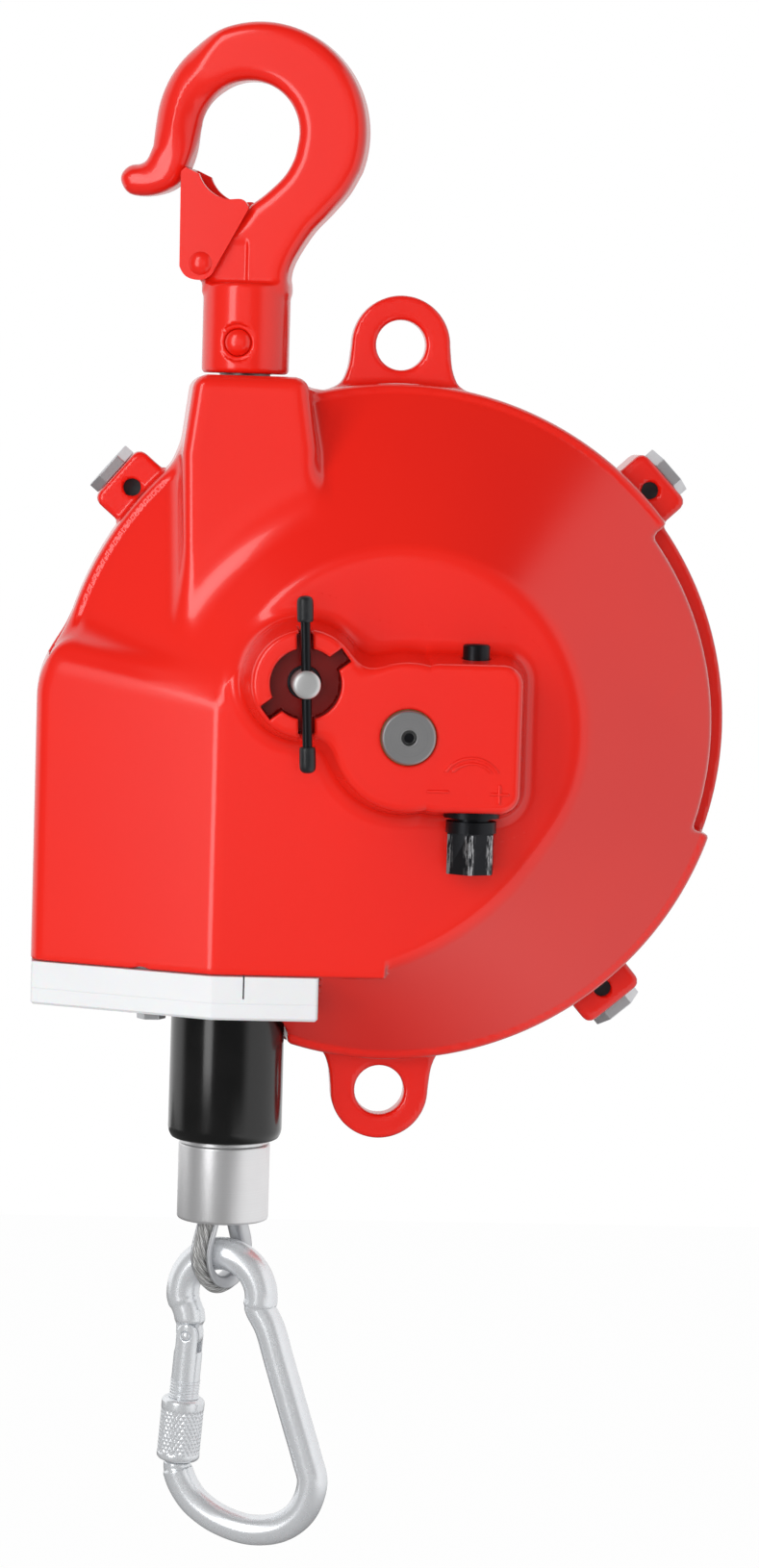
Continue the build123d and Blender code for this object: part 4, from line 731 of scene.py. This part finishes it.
clip = {"yaw": 22.0, "bar": 4.88, "bow": 5.28, "bowCentre": (0.6, -185.5), "bowLine": 13.4, "pin": (-10.0, -199.3),
        "foot": (-13.2, -240.8), "gate": 4.58, "tongue": 2.0, "nose": 4.38, "gridStep": 0.55}
clipPlace = yawedPlace(clip["yaw"], (0.0, 0.0, axisZ))
clipPath = smoothCurve(np.vstack([
    [(-10.05, -198.0), (-10.1, -195.0), (-10.9, -191.5)],
    arcPoints(clip["bowCentre"], clip["bowLine"], 188.0, -14.0, 22),
    [(17.2, -195.0), (20.65, -205.25), (24.1, -215.5), (27.55, -225.75), (31.0, -236.0), (33.0, -244.0), (29.9, -253.2),
     (22.5, -259.3), (12.1, -261.2), (1.6, -258.9), (-6.4, -254.3), (-11.0, -248.8), (-13.2, -243.5), (-13.17, -241.0)],
]), 190)
clipLength = np.append(0.0, np.cumsum(np.linalg.norm(np.diff(clipPath, axis=0), axis=1)))


bowStart, bowEnd = 9.5, 57.5           # where the thicker bow begins and ends along the bar


def clipField(x, n, z):
    away, where = pathDistance(clipPath, clipLength, x, z)
    thick = clip["bar"] + (clip["bow"] - clip["bar"]) * ramp(where, bowStart - 0.8, bowStart + 0.8) * (
        1 - ramp(where, bowEnd - 0.8, bowEnd + 0.8))
    thick = thick - (clip["bar"] - clip["nose"]) * ramp(where, clipLength[-1] - 3.2, clipLength[-1] - 2.4)
    px, pz = clip["pin"]
    fx, fz = clip["foot"]
    neckEnd = np.where((x < 2.0) & (z > -215.0), -195.4 - z, -9.0)
    noseEnd = np.where((x < -3.0) & (z < -225.0), (z - fz) + 0.077 * (x - fx) + 0.35, -9.0)
    bar = common(common(np.hypot(away, n) - thick, neckEnd, 1.4), noseEnd, 0.8)
    tongue = np.minimum(np.hypot(x - px, z - pz) - 4.05, np.maximum(np.abs(x - px + 0.2) - 4.05, np.abs(z - pz - 4.0) - 4.0))
    tongue = common(tongue, np.abs(n) - clip["tongue"] + 0.05, 0.6)
    return joined(bar, tongue, 1.0)


def gateField(x, n, z):
    # the gate: a round bar forked over the tongue, its upper end rounded about the pin
    px, pz = clip["pin"]
    fx, fz = clip["foot"]
    runX, runZ = px - fx, pz - fz
    long = math.hypot(runX, runZ)
    along = ((x - fx) * runX + (z - fz) * runZ) / long
    aside = ((x - fx) * runZ - (z - fz) * runX) / long
    bar = np.hypot(aside, n) - clip["gate"]
    bar = common(bar, -along, 0.8)
    above = along - long
    bar = common(bar, np.where(above > 0, np.hypot(aside, above) - 3.95, -9.0 + 0 * aside), 0.8)
    fork = np.maximum(np.abs(n) - clip["tongue"] - 0.28, -5.4 - above)
    bar = common(bar, -fork, 0.6)
    return common(bar, -(np.hypot(x - px, z - pz) - 1.62), 0.3)


rideOn(netPiece("carabiner_bar", clipField, (-20.0, -6.5, -268.5), (39.5, 6.5, -164.5), clip["gridStep"] * coarse, clipPlace),
       "carabiner", "bright_zinc", "carabiner_body")
rideOn(netPiece("gate_bar", gateField, (-19.5, -5.6, -242.5), (-4.0, 5.6, -193.5), 0.42 * coarse, clipPlace),
       "gate", "bright_zinc", "carabiner_gate")
clipNormal = clipPlace.turn[1]
gateAxis = clipPlace.out([clip["pin"][0], 0, clip["pin"][1]]) - clipPlace.out([clip["foot"][0], 0, clip["foot"][1]])
footPoint = clipPlace.out([clip["foot"][0], 0, clip["foot"][1]])
rivetEnd = smoothCurve([(0.02, 4.75), (0.7, 4.68), (1.3, 4.4), (1.58, 3.9)], 7)
rideOn(rivetPiece("gate_rivet_headed", lathePlace(clipPlace.out([clip["pin"][0], 0, clip["pin"][1]]), clipNormal, (0, 0, 1)),
                  rivetEnd), "carabiner", "bright_zinc", "gate_rivet")

sleeve = {"radius": 6.95, "bottom": 0.25, "top": 20.75, "bore": 4.66, "counter": 5.6, "knurl": 0.32, "pitch": 1.55}


def knurled(height, turn):
    # crossed cuts: the higher of two slanting saw waves, faded out at both ends of the sleeve
    around = turn * sleeve["radius"]
    rows = round(2 * math.pi * sleeve["radius"] / sleeve["pitch"])
    step = 2 * math.pi * sleeve["radius"] / rows
    waves = [np.abs(((around + sign * (height - 2.0) * 0.62) / step) % 1.0 - 0.5) * 2 for sign in (1, -1)]
    inBand = ramp(height, 2.2, 3.2) * (1 - ramp(height, 16.6, 17.6))
    return -sleeve["knurl"] * np.maximum(*waves) ** 1.5 * inBand


outer = roundedProfile([(sleeve["counter"], sleeve["bottom"]), (sleeve["radius"] - 0.9, sleeve["bottom"]),
                        (sleeve["radius"], sleeve["bottom"] + 0.9), (sleeve["radius"], sleeve["top"] - 0.9),
                        (sleeve["radius"] - 0.9, sleeve["top"]), (sleeve["bore"], sleeve["top"])], [0, 0.5, 0.5, 0.5, 0.5, 0], 4)
fine = np.stack([np.full(90, sleeve["radius"]), np.linspace(2.0, 18.4, 90)], 1)
split = int(np.argmax(outer[:, 1] > 3.0))
outer = np.vstack([outer[:split], fine, outer[split:]])
inner = np.array([(sleeve["bore"], sleeve["bottom"] + 3.4), (sleeve["counter"], sleeve["bottom"] + 3.4)])
rideOn(turnedPiece("sleeve_knurled", np.vstack([outer, inner]), lathePlace(footPoint, gateAxis, clipPlace.turn[0]), 252,
                   closed=True, relief=lambda h, t: knurled(h, t) * (h < 18.5) * (h > 1.9)),
       "sleeve", "bright_zinc", "lock_sleeve")
# thread on the gate above the sleeve: fine rounded rings
ringHeight = np.linspace(20.9, 26.6, 75)
ringRadius = clip["gate"] + 0.26 * np.cos(2 * math.pi * (ringHeight - 20.9) / 0.95) + 0.02
thread = np.vstack([[(0.02, 20.9)], np.stack([ringRadius, ringHeight], 1), [(0.02, 26.6)]])
rideOn(turnedPiece("gate_thread", thread, lathePlace(footPoint, gateAxis, clipPlace.turn[0]), 56),
       "gate", "bright_zinc", "carabiner_gate")
print("carabiner done")


# drum lock: plunger, cross rod and its two caps

lock = {"x": -31.7, "z": 15.5, "pin": 4.28, "head": -70.75, "tail": -36.25, "rod": 1.5, "rodDepth": -67.0, "half": 27.0,
        "tilt": 2.5, "cap": 2.5}
lockMiddle = drumPlace.out([lock["x"], 0.0, lock["z"]])
rideOn(turnedPiece("plunger_pin", [
    (0.02, -lock["tail"]), (3.5, -lock["tail"]), (lock["pin"], -lock["tail"] + 0.8), (lock["pin"], -lock["head"] - 1.15),
    (lock["pin"] - 0.12, -lock["head"] - 0.75), (lock["pin"] - 0.5, -lock["head"] - 0.4), (2.9, -lock["head"] - 0.12),
    (1.4, -lock["head"] - 0.03), (0.02, -lock["head"])], lathePlace(lockMiddle, (0, -1, 0), (1, 0, 0)), 72),
    "lock_handle", "plunger_steel", "lock_pin")
tilt = math.radians(lock["tilt"])
rodAxis = (-math.sin(tilt), 0.0, math.cos(tilt))
rodMiddle = lockMiddle + (0, lock["rodDepth"], 0)
end = lock["half"] - 1.6
rideOn(turnedPiece("cross_rod", [(0.02, -end), (lock["rod"], -end), (lock["rod"], end), (0.02, end)],
                   lathePlace(rodMiddle, rodAxis, (1, 0, 0)), 32), "lock_handle", "black_steel", "lock_rod")
for side, label in ((1.0, "upper"), (-1.0, "lower")):
    cap = np.vstack([[(1.53, lock["half"] - 8.0), (2.15, lock["half"] - 8.0)],
                     smoothCurve([(2.42, lock["half"] - 7.7), (2.5, lock["half"] - 6.5), (2.5, lock["half"] - 2.2),
                                  (2.2, lock["half"] - 0.9), (1.3, lock["half"] - 0.2), (0.02, lock["half"])], 18)])
    rideOn(turnedPiece("rod_cap_" + label, cap, lathePlace(rodMiddle, np.array(rodAxis) * side, (1, 0, 0)), 40),
           "lock_handle", "black_plastic", "lock_caps")
print("drum lock done")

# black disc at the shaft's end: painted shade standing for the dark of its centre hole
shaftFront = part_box("main_shaft")[0][1] * 1000.0
rideOn(turnedPiece("shaft_centre_hole", [(0.02, -0.5), (1.5, -0.5), (1.5, 0.06), (0.6, 0.0), (0.02, -0.1)],
                   lathePlace(drumPlace.out([0.0, shaftFront, 0.0]), (0, -1, 0), (1, 0, 0)), 32), "shaft", "black_steel")

# black discs 2.2 mm under each ear's face: painted shade standing for the dark of the blind holes in the ears
for number, (angle, earFront) in enumerate(casting["ears"].items()):
    c, s = math.cos(math.radians(angle)), math.sin(math.radians(angle))
    mouth = drumPlace.out([111.6 * c, earFront + 2.2, 111.6 * s])
    rideOn(turnedPiece(f"ear_hole_bottom_{number}", [(0.02, -0.8), (3.2, -0.8), (3.2, 0.0), (1.2, -0.35), (0.02, -0.45)],
                       lathePlace(mouth, (0, -1, 0), (1, 0, 0)), 32), "housing", "black_plastic")


# CAD nodes whose shape is right get rounded edges

def softPiece(node, label, slot, width, segments=2, angle=30.0):
    # a merged copy of a CAD node: flat faces made whole, edges rounded by a Bevel
    made = bmesh.new()
    made.from_mesh(frame["nodes"][node].data)
    bmesh.ops.remove_doubles(made, verts=made.verts[:], dist=2e-6)
    bmesh.ops.dissolve_limit(made, angle_limit=math.radians(0.5), verts=made.verts[:], edges=made.edges[:],
                             use_dissolve_boundaries=False, delimit={"NORMAL"})
    mesh = bpy.data.meshes.new(label)
    made.to_mesh(mesh)
    made.free()
    for spare in [a.name for a in mesh.attributes if a.name == "custom_normal"]:
        mesh.attributes.remove(mesh.attributes[spare])
    mesh.materials.clear()
    mesh.polygons.foreach_set("use_smooth", np.ones(len(mesh.polygons), bool))
    piece = bpy.data.objects.new(label, mesh)
    bpy.context.scene.collection.objects.link(piece)
    bevel = piece.modifiers.new("rounded_edges", "BEVEL")
    bevel.width = width * 0.001
    bevel.segments = segments
    bevel.limit_method = "ANGLE"
    bevel.angle_limit = math.radians(angle)
    bevel.miter_outer = "MITER_ARC"
    bevel.harden_normals = True
    body = frame["nodes"][node]["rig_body"]
    return rideOn(piece, body, slot, node)


softened = {
    "rear_case": ("rear_casting", "red_paint", 0.9, 3), "cable_guide": ("guide_plate", "white_nylon", 0.7, 3),
    "hook_latch": ("latch_sheet", "red_paint", 0.45, 2), "ear_screws": ("ear_screw_heads", "zinc", 0.35, 2),
    "case_screws": ("case_screw_heads", "zinc", 0.3, 2), "guide_screws": ("guide_screw_heads", "zinc", 0.35, 2),
    "main_shaft": ("shaft_turned", "steel", 0.3, 2), "worm": ("worm_and_hex", "black_steel", 0.25, 2),
    "worm_plug": ("worm_plug_socket", "black_steel", 0.2, 2),
}
for node, (label, slot, width, segments) in softened.items():
    softPiece(node, label, slot, width, segments)
print("edges rounded")


# finishes: sums on values add Math nodes

class Value:
    # one socket of a node tree; the usual signs give a new value through a Math node
    def __init__(self, tree, socket):
        self.tree, self.socket = tree, socket

    def maths(self, operation, *values):
        return self.tree.node("ShaderNodeMath", {"operation": operation}, values)

    def __add__(self, other):
        return self.maths("ADD", self, other)

    def __sub__(self, other):
        return self.maths("SUBTRACT", self, other)

    def __rsub__(self, other):
        return self.maths("SUBTRACT", other, self)

    def __mul__(self, other):
        return self.maths("MULTIPLY", self, other)

    def __truediv__(self, other):
        return self.maths("DIVIDE", self, other)

    def __pow__(self, other):
        return self.maths("POWER", self, other)

    def __abs__(self):
        return self.maths("ABSOLUTE", self)

    __radd__ = __add__
    __rmul__ = __mul__

    def sine(self):
        return self.maths("SINE", self)

    def between(self, low, high):
        # 0 below low, 1 above high, an even curve between
        return self.tree.node("ShaderNodeMapRange", {"interpolation_type": "SMOOTHSTEP"}, (self, low, high, 0.0, 1.0))


class Tree:
    # the nodes of one material or of the world
    def __init__(self, owner, output):
        owner.use_nodes = True
        self.nodes, self.links = owner.node_tree.nodes, owner.node_tree.links
        self.nodes.clear()
        self.output = self.nodes.new(output)

    def feed(self, made, sockets):
        for key, value in (sockets.items() if isinstance(sockets, dict) else enumerate(sockets)):
            if isinstance(value, Value):
                self.links.new(value.socket, made.inputs[key])
            else:
                made.inputs[key].default_value = value

    def node(self, kind, settings, sockets=(), out=0):
        made = self.nodes.new(kind)
        for key, value in settings.items():
            if key == "stops":
                for stop, (at, colour) in zip([made.color_ramp.elements.new(0.5) for _ in value[2:]] +
                                              list(made.color_ramp.elements), value):
                    stop.position, stop.color = at, (*colour, 1.0)
            else:
                setattr(made, key, value)
        self.feed(made, sockets)
        return Value(self, made.outputs[out])

    def show(self, shader):
        self.links.new(shader.socket, self.output.inputs[0])

    def spot(self, centre=(0, 0, 0)):
        # Object coordinates from a centre, in metres
        return self.node("ShaderNodeVectorMath", {"operation": "SUBTRACT"},
                         (self.node("ShaderNodeTexCoord", {}, out="Object"), tuple(centre)))

    def stretched(self, vector, by):
        return self.node("ShaderNodeVectorMath", {"operation": "MULTIPLY"}, (vector, tuple(by)))

    def split(self, vector):
        return [self.node("ShaderNodeSeparateXYZ", {}, (vector,), out=k) for k in range(3)]

    def vector(self, *parts):
        return self.node("ShaderNodeCombineXYZ", {}, parts)

    def noise(self, vector, scale, detail=3.0, roughness=0.5):
        return self.node("ShaderNodeTexNoise", {}, {"Vector": vector, "Scale": scale, "Detail": detail,
                                                     "Roughness": roughness})

    def mixed(self, factor, one, two):
        # two colours by a factor; sockets 6 and 7 are the Mix node's colours
        colours = {key: value if isinstance(value, Value) else (*value, 1.0) for key, value in ((6, one), (7, two))}
        return self.node("ShaderNodeMix", {"data_type": "RGBA"}, {0: factor, **colours}, out=2)

    def bump(self, height, distance, strength=1.0):
        return self.node("ShaderNodeBump", {}, {"Strength": strength, "Distance": distance, "Height": height})


def finish(name, recipe):
    # a material with one shader; the recipe gives its sockets, plain or changing over the surface
    material = bpy.data.materials.new(name)
    tree = Tree(material, "ShaderNodeOutputMaterial")
    tree.show(tree.node("ShaderNodeBsdfPrincipled", {}, recipe(tree)))
    return material


def use(material, *names):
    # gives a finish to pieces made here and to CAD nodes, by name
    for name in names:
        slots = bpy.data.objects[name].data.materials
        if not slots:
            slots.append(material)
        for k in range(len(slots)):
            slots[k] = material


# shade is the colour of the painted shade inside the lock's recess
paint = {"red": (0.85, 0.015, 0.006), "deep": (0.76, 0.008, 0.006), "shade": (0.10, 0.003, 0.003), "gloss": 0.22,
         "coat": 0.35}


def redPaint(t):
    wide = t.noise(t.spot(), 14.0, 2.0)
    # painted shade: inside the lock's recess and slots the red is darkened towards the shade colour, where shade falls
    x, y, z = t.split(t.spot(tuple(lockMiddle * 0.001)))
    paintedRecessShade = (1.0 - ((x * x + z * z) ** 0.5).between(0.0155, 0.0165)) * y.between(-0.0635, -0.0615)
    colour = t.mixed(wide.between(0.35, 0.65) * 0.25, paint["red"], paint["deep"])
    return {"Base Color": t.mixed(paintedRecessShade * 0.85, colour, paint["shade"]),
            "Roughness": wide * 0.06 + paint["gloss"], "Coat Weight": paint["coat"], "Coat Roughness": 0.06}


def whiteNylon(t):
    low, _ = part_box("cable_guide")
    height = t.split(t.spot((0, 0, low.z + 0.0052)))[2]
    seam = 1.0 - abs(height).between(0.00005, 0.0003)
    spot = t.spot()
    cloud, grain = t.noise(spot, 60.0), t.noise(spot, 1800.0, 2.0)
    return {"Base Color": t.mixed(cloud * 0.4 + seam * 0.5, (0.82, 0.83, 0.84), (0.73, 0.74, 0.76)),
            "Roughness": grain * 0.12 + 0.38, "Subsurface Weight": 0.15, "Subsurface Scale": 0.004,
            "Normal": t.bump(cloud * 0.4 - seam * 0.6 + grain * 0.05, 0.00015, 0.6)}


def blackRubber(t):
    spot = t.spot()
    cloud, grain = t.noise(spot, 90.0, 4.0), t.noise(spot, 1400.0, 2.0)
    return {"Base Color": t.mixed(cloud, (0.003, 0.003, 0.003), (0.008, 0.008, 0.008)),
            "Roughness": cloud * 0.12 + 0.12, "Coat Weight": 0.15, "Coat Roughness": 0.1,
            "Normal": t.bump(grain * 0.3 + cloud, 0.00006, 0.5)}


def turned(light, dark, gloss, lines, axis=1, centre=(0, 0, 0), depth=0.00003):
    # metal with the fine lines of a lathe: noise by radius and by height along the axis
    def recipe(t):
        spot = t.spot(centre)
        along, one, two = [t.split(spot)[k % 3] for k in (axis, axis + 1, axis + 2)]
        line = t.noise(t.vector((one * one + two * two) ** 0.5 * lines, along * lines, 0.0), 1.0)
        cloud = t.noise(spot, 120.0)
        return {"Base Color": t.mixed(line * 0.6 + cloud * 0.4, light, dark), "Metallic": 0.8,
                "Roughness": line * 0.18 + cloud * 0.08 + gloss, "Normal": t.bump(line, depth, 0.6)}
    return recipe


def plated(light, dark, gloss, wave=0.00004, size=220.0, metallic=1.0):
    # plated metal: faint clouds in the plating and a slightly uneven skin
    def recipe(t):
        spot = t.spot()
        cloud, wide = t.noise(spot, size, 4.0, 0.6), t.noise(spot, 45.0, 2.0)
        return {"Base Color": t.mixed(cloud * 0.5 + wide * 0.3, light, dark), "Metallic": metallic,
                "Roughness": cloud * 0.14 + gloss, "Normal": t.bump(wide + cloud * 0.2, wave, 0.5)}
    return recipe


def blackOxide(t):
    # blackened steel, worn bright at the hexagon's corners
    low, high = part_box("worm")
    spot = t.spot(((low.x + high.x) / 2, (low.y + high.y) / 2, low.z))
    x, y, z = t.split(spot)
    rub = t.noise(t.stretched(spot, (1.0, 1.0, 0.12)), 1500.0, 4.0, 0.65)
    corner = (1.0 - z.between(0.0120, 0.0126)) * ((x * x + y * y) ** 0.5).between(0.0068, 0.0079)
    worn = (corner * 1.3 * rub.between(0.38, 0.62)).between(0.3, 0.9)
    cloud = t.noise(t.spot(), 260.0, 4.0)
    return {"Base Color": t.mixed(worn, (0.022, 0.023, 0.026), (0.42, 0.42, 0.43)), "Metallic": 0.85,
            "Roughness": cloud * 0.2 + 0.28 - worn * 0.1, "Normal": t.bump(cloud + rub * 0.4, 0.00004, 0.6)}


def satinBlack(t):
    cloud = t.noise(t.spot(), 300.0, 4.0)
    return {"Base Color": t.mixed(cloud, (0.007, 0.008, 0.010), (0.022, 0.023, 0.025)),
            "Roughness": cloud * 0.2 + 0.3, "Normal": t.bump(cloud, 0.00005, 0.6)}


def strandWires(t):
    # wires of a strand: ridges that wind round it, with a painted highlight on their tops and painted shade in the
    # grooves between them
    along, around, _ = t.split(t.node("ShaderNodeTexCoord", {}, out="UV"))
    ridgeAndGrooveShade = abs(((along * 1.9 + around * 7.0) * math.pi).sine())
    cloud = t.noise(t.spot(), 500.0)
    return {"Base Color": t.mixed(ridgeAndGrooveShade, (0.30, 0.30, 0.30), (0.80, 0.80, 0.79)), "Metallic": 0.7,
            "Roughness": cloud * 0.2 + 0.3, "Normal": t.bump(ridgeAndGrooveShade, 0.00012, 0.8)}


def ropeLay(t):
    # the same rope where it is one rod: its lay drawn by angle and height, with painted shade in the grooves between
    # the strands
    x, y, z = t.split(t.spot())
    turn = t.node("ShaderNodeMath", {"operation": "ARCTAN2"}, (y, x))
    strand, wire = abs((turn * 3.0 + z * 700.0).sine()), abs((turn * 9.0 - z * 2600.0).sine())
    # painted shade: the colour is dark where strand is low, between the strands
    return {"Base Color": t.mixed(strand.between(0.0, 0.5), (0.06, 0.06, 0.06), (0.46, 0.46, 0.45)), "Metallic": 0.9,
            "Roughness": wire * 0.15 + 0.35, "Normal": t.bump(strand + wire * 0.15, 0.0004, 0.8)}


drumCentre = (axisX / 1000, 0.0, axisZ / 1000)
finishes = {
    "red_gloss_paint": (redPaint, "case_casting worm_block block_marks rear_casting hook_forging collar_rivet "
                                  "latch_rivet_headed latch_sheet"),
    "white_nylon": (whiteNylon, "guide_plate"),
    "black_rubber": (blackRubber, "rubber_stop_skin"),
    # the shaft's centre hole shade disc takes this black as painted shade
    "black_oxide_steel": (blackOxide, "shaft_centre_hole worm_and_hex worm_plug_socket cross_rod worm_bush"),
    # the ear hole shade discs take this black as painted shade; the rod caps are black plastic
    "satin_black_plastic": (satinBlack, "rod_cap_upper rod_cap_lower " + " ".join(f"ear_hole_bottom_{k}" for k in range(4))),
    "turned_aluminium": (turned((0.90, 0.90, 0.91), (0.78, 0.78, 0.79), 0.24, 2600.0, axis=2), "ferrule_skin"),
    "turned_steel": (turned((0.50, 0.50, 0.50), (0.34, 0.34, 0.35), 0.32, 3200.0, centre=drumCentre, depth=0.00005),
                     "shaft_turned hook_stem stem_nut stem_bearing shaft_keys worm_wheel"),
    "cast_aluminium_grey": (plated((0.50, 0.51, 0.52), (0.36, 0.37, 0.38), 0.5, 0.0002, 600.0),
                            "cable_drum drum_cover bearing_plate spring_arbor"),
    "plunger_steel": (turned((0.85, 0.85, 0.85), (0.7, 0.7, 0.7), 0.35, 2400.0, centre=tuple(lockMiddle * 0.001),
                             depth=0.00002), "plunger_pin"),
    "zinc_plate": (plated((0.74, 0.75, 0.77), (0.56, 0.57, 0.59), 0.3, metallic=0.75),
                   "ear_screw_heads case_screw_heads guide_screw_heads thimble_sheet"),
    "bright_zinc_plate": (plated((0.93, 0.95, 0.97), (0.80, 0.83, 0.87), 0.2, metallic=0.55),
                          "carabiner_bar gate_bar gate_rivet_headed sleeve_knurled gate_thread"),
    "bronze": (turned((0.55, 0.36, 0.15), (0.40, 0.24, 0.09), 0.3, 2400.0, centre=drumCentre),
               "front_bush rear_bush lock_bush drum_bushes"),
    "spring_steel": (plated((0.16, 0.17, 0.19), (0.09, 0.09, 0.11), 0.3), "main_spring lock_spring latch_spring"),
    "rope_strand_wires": (strandWires, " ".join(f"rope_strand_{k}" for k in range(7))),
    "rope_lay": (ropeLay, "cable_turns cable_run_skin cable_end"),
}
for name, (recipe, pieces) in finishes.items():
    use(finish(name, recipe), *pieces.split())
print("finishes done:", len(finishes))


# white room: the floor and the world are white where the camera sees them; metal and gloss see the room,
# white behind the object, pale at its right and dark in front and above

def seen(t, *names):
    # 1 for the named kinds of ray
    total = 0.0
    for name in names:
        total = t.node("ShaderNodeLightPath", {}, out=name) + total
    return total


studio = {"floorGap": 0.06, "floorHalf": 0.9, "ambient": 0.40, "shadow": 0.02, "front": 0.10, "left": 0.12,
          "right": 0.95, "below": 0.15, "above": 0.02}
low = min(cadBounds[0][2], cadBounds[1][2])
half = studio["floorHalf"]
floor = meshPiece("floor", np.array([(-half, -half, 0), (half, -half, 0), (half, half, 0), (-half, half, 0)]) * 1000.0
                  + np.array([0, 0, (low - studio["floorGap"]) * 1000.0]), [np.array([[0, 1, 2, 3]])])
floorPaint = bpy.data.materials.new("pale_floor")
t = Tree(floorPaint, "ShaderNodeOutputMaterial")
plain = t.node("ShaderNodeBsdfDiffuse", {}, ((0.82, 0.82, 0.82, 1.0),))
sight = seen(t, "Is Camera Ray", "Is Transmission Ray")
shine = seen(t, "Is Glossy Ray")
toRight = t.split(t.spot())[0].between(0.05, 0.3)
mirrored = toRight * (studio["right"] - studio["below"]) + studio["below"]
glow = t.node("ShaderNodeEmission", {}, ((1.0, 1.0, 1.0, 1.0), sight + shine * mirrored))
t.show(t.node("ShaderNodeMixShader", {}, (sight * (1.0 - studio["shadow"]) + shine, plain, glow)))
floor.data.materials.append(floorPaint)
world = bpy.data.worlds.new("white_room")
bpy.context.scene.world = world
t = Tree(world, "ShaderNodeOutputWorld")
x, y, z = t.split(t.node("ShaderNodeTexCoord", {}, out="Generated"))
room = (studio["front"] + x.between(0.45, 0.75) * (studio["right"] - studio["front"])
        + (1.0 - x.between(-0.9, -0.6)) * (studio["left"] - studio["front"]))
ceiling = z.between(0.68, 0.78)
room = room * (1.0 - ceiling) + ceiling * studio["above"]
behind = y.between(0.0, 0.35)
room = room * (1.0 - behind) + behind
sight = seen(t, "Is Camera Ray", "Is Transmission Ray")
shine = seen(t, "Is Glossy Ray")
strength = sight + shine * room + (1.0 - sight - shine) * studio["ambient"]
t.show(t.node("ShaderNodeBackground", {}, ((1.0, 1.0, 1.0, 1.0), strength)))
print("white room done")


# light and camera

aim = np.array([0.03, 0.0, -0.22])


def softbox(name, azimuth, elevation, distance, size, radiance, glossy=True):
    # a rectangular lamp that faces the object; its watts follow from how bright its face is
    a, e = math.radians(azimuth), math.radians(elevation)
    away = np.array([math.sin(a) * math.cos(e), -math.cos(a) * math.cos(e), math.sin(e)])
    lamp = bpy.data.lights.new(name, "AREA")
    lamp.shape = "RECTANGLE"
    lamp.size, lamp.size_y = size
    lamp.energy = radiance * math.pi * size[0] * size[1]
    holder = bpy.data.objects.new(name, lamp)
    bpy.context.scene.collection.objects.link(holder)
    holder.location = aim + away * distance
    holder.rotation_euler = Vector(away).to_track_quat("Z", "Y").to_euler()
    holder.visible_glossy = glossy


softbox("left_softbox", -41.0, 15.0, 2.0, (0.62, 1.9), 3.8)
softbox("front_fill", -8.0, 6.0, 2.2, (1.2, 1.2), 4.7, glossy=False)

azimuth, elevation, roll = (math.radians(a) for a in (-4.1, 4.65, 1.7))
back = np.array([math.sin(azimuth) * math.cos(elevation), -math.cos(azimuth) * math.cos(elevation), math.sin(elevation)])
right = np.cross(-back, (0, 0, 1))
right /= np.linalg.norm(right)
up = np.cross(right, -back)
side = right * math.cos(roll) + up * math.sin(roll)
rise = -right * math.sin(roll) + up * math.cos(roll)
camera = bpy.data.objects.new("camera", bpy.data.cameras.new("camera"))
camera.data.sensor_fit = "HORIZONTAL"
camera.data.sensor_width = 36.0
camera.data.lens = 206.05
camera.data.clip_end = 20.0
eye = np.array([-0.05242, -1.3793, -0.10814])
camera.matrix_world = Matrix([[side[k], rise[k], back[k], eye[k]] for k in range(3)] + [[0, 0, 0, 1]])
bpy.context.scene.collection.objects.link(camera)
bpy.context.scene.camera = camera
bpy.context.scene.view_settings.view_transform = "Standard"
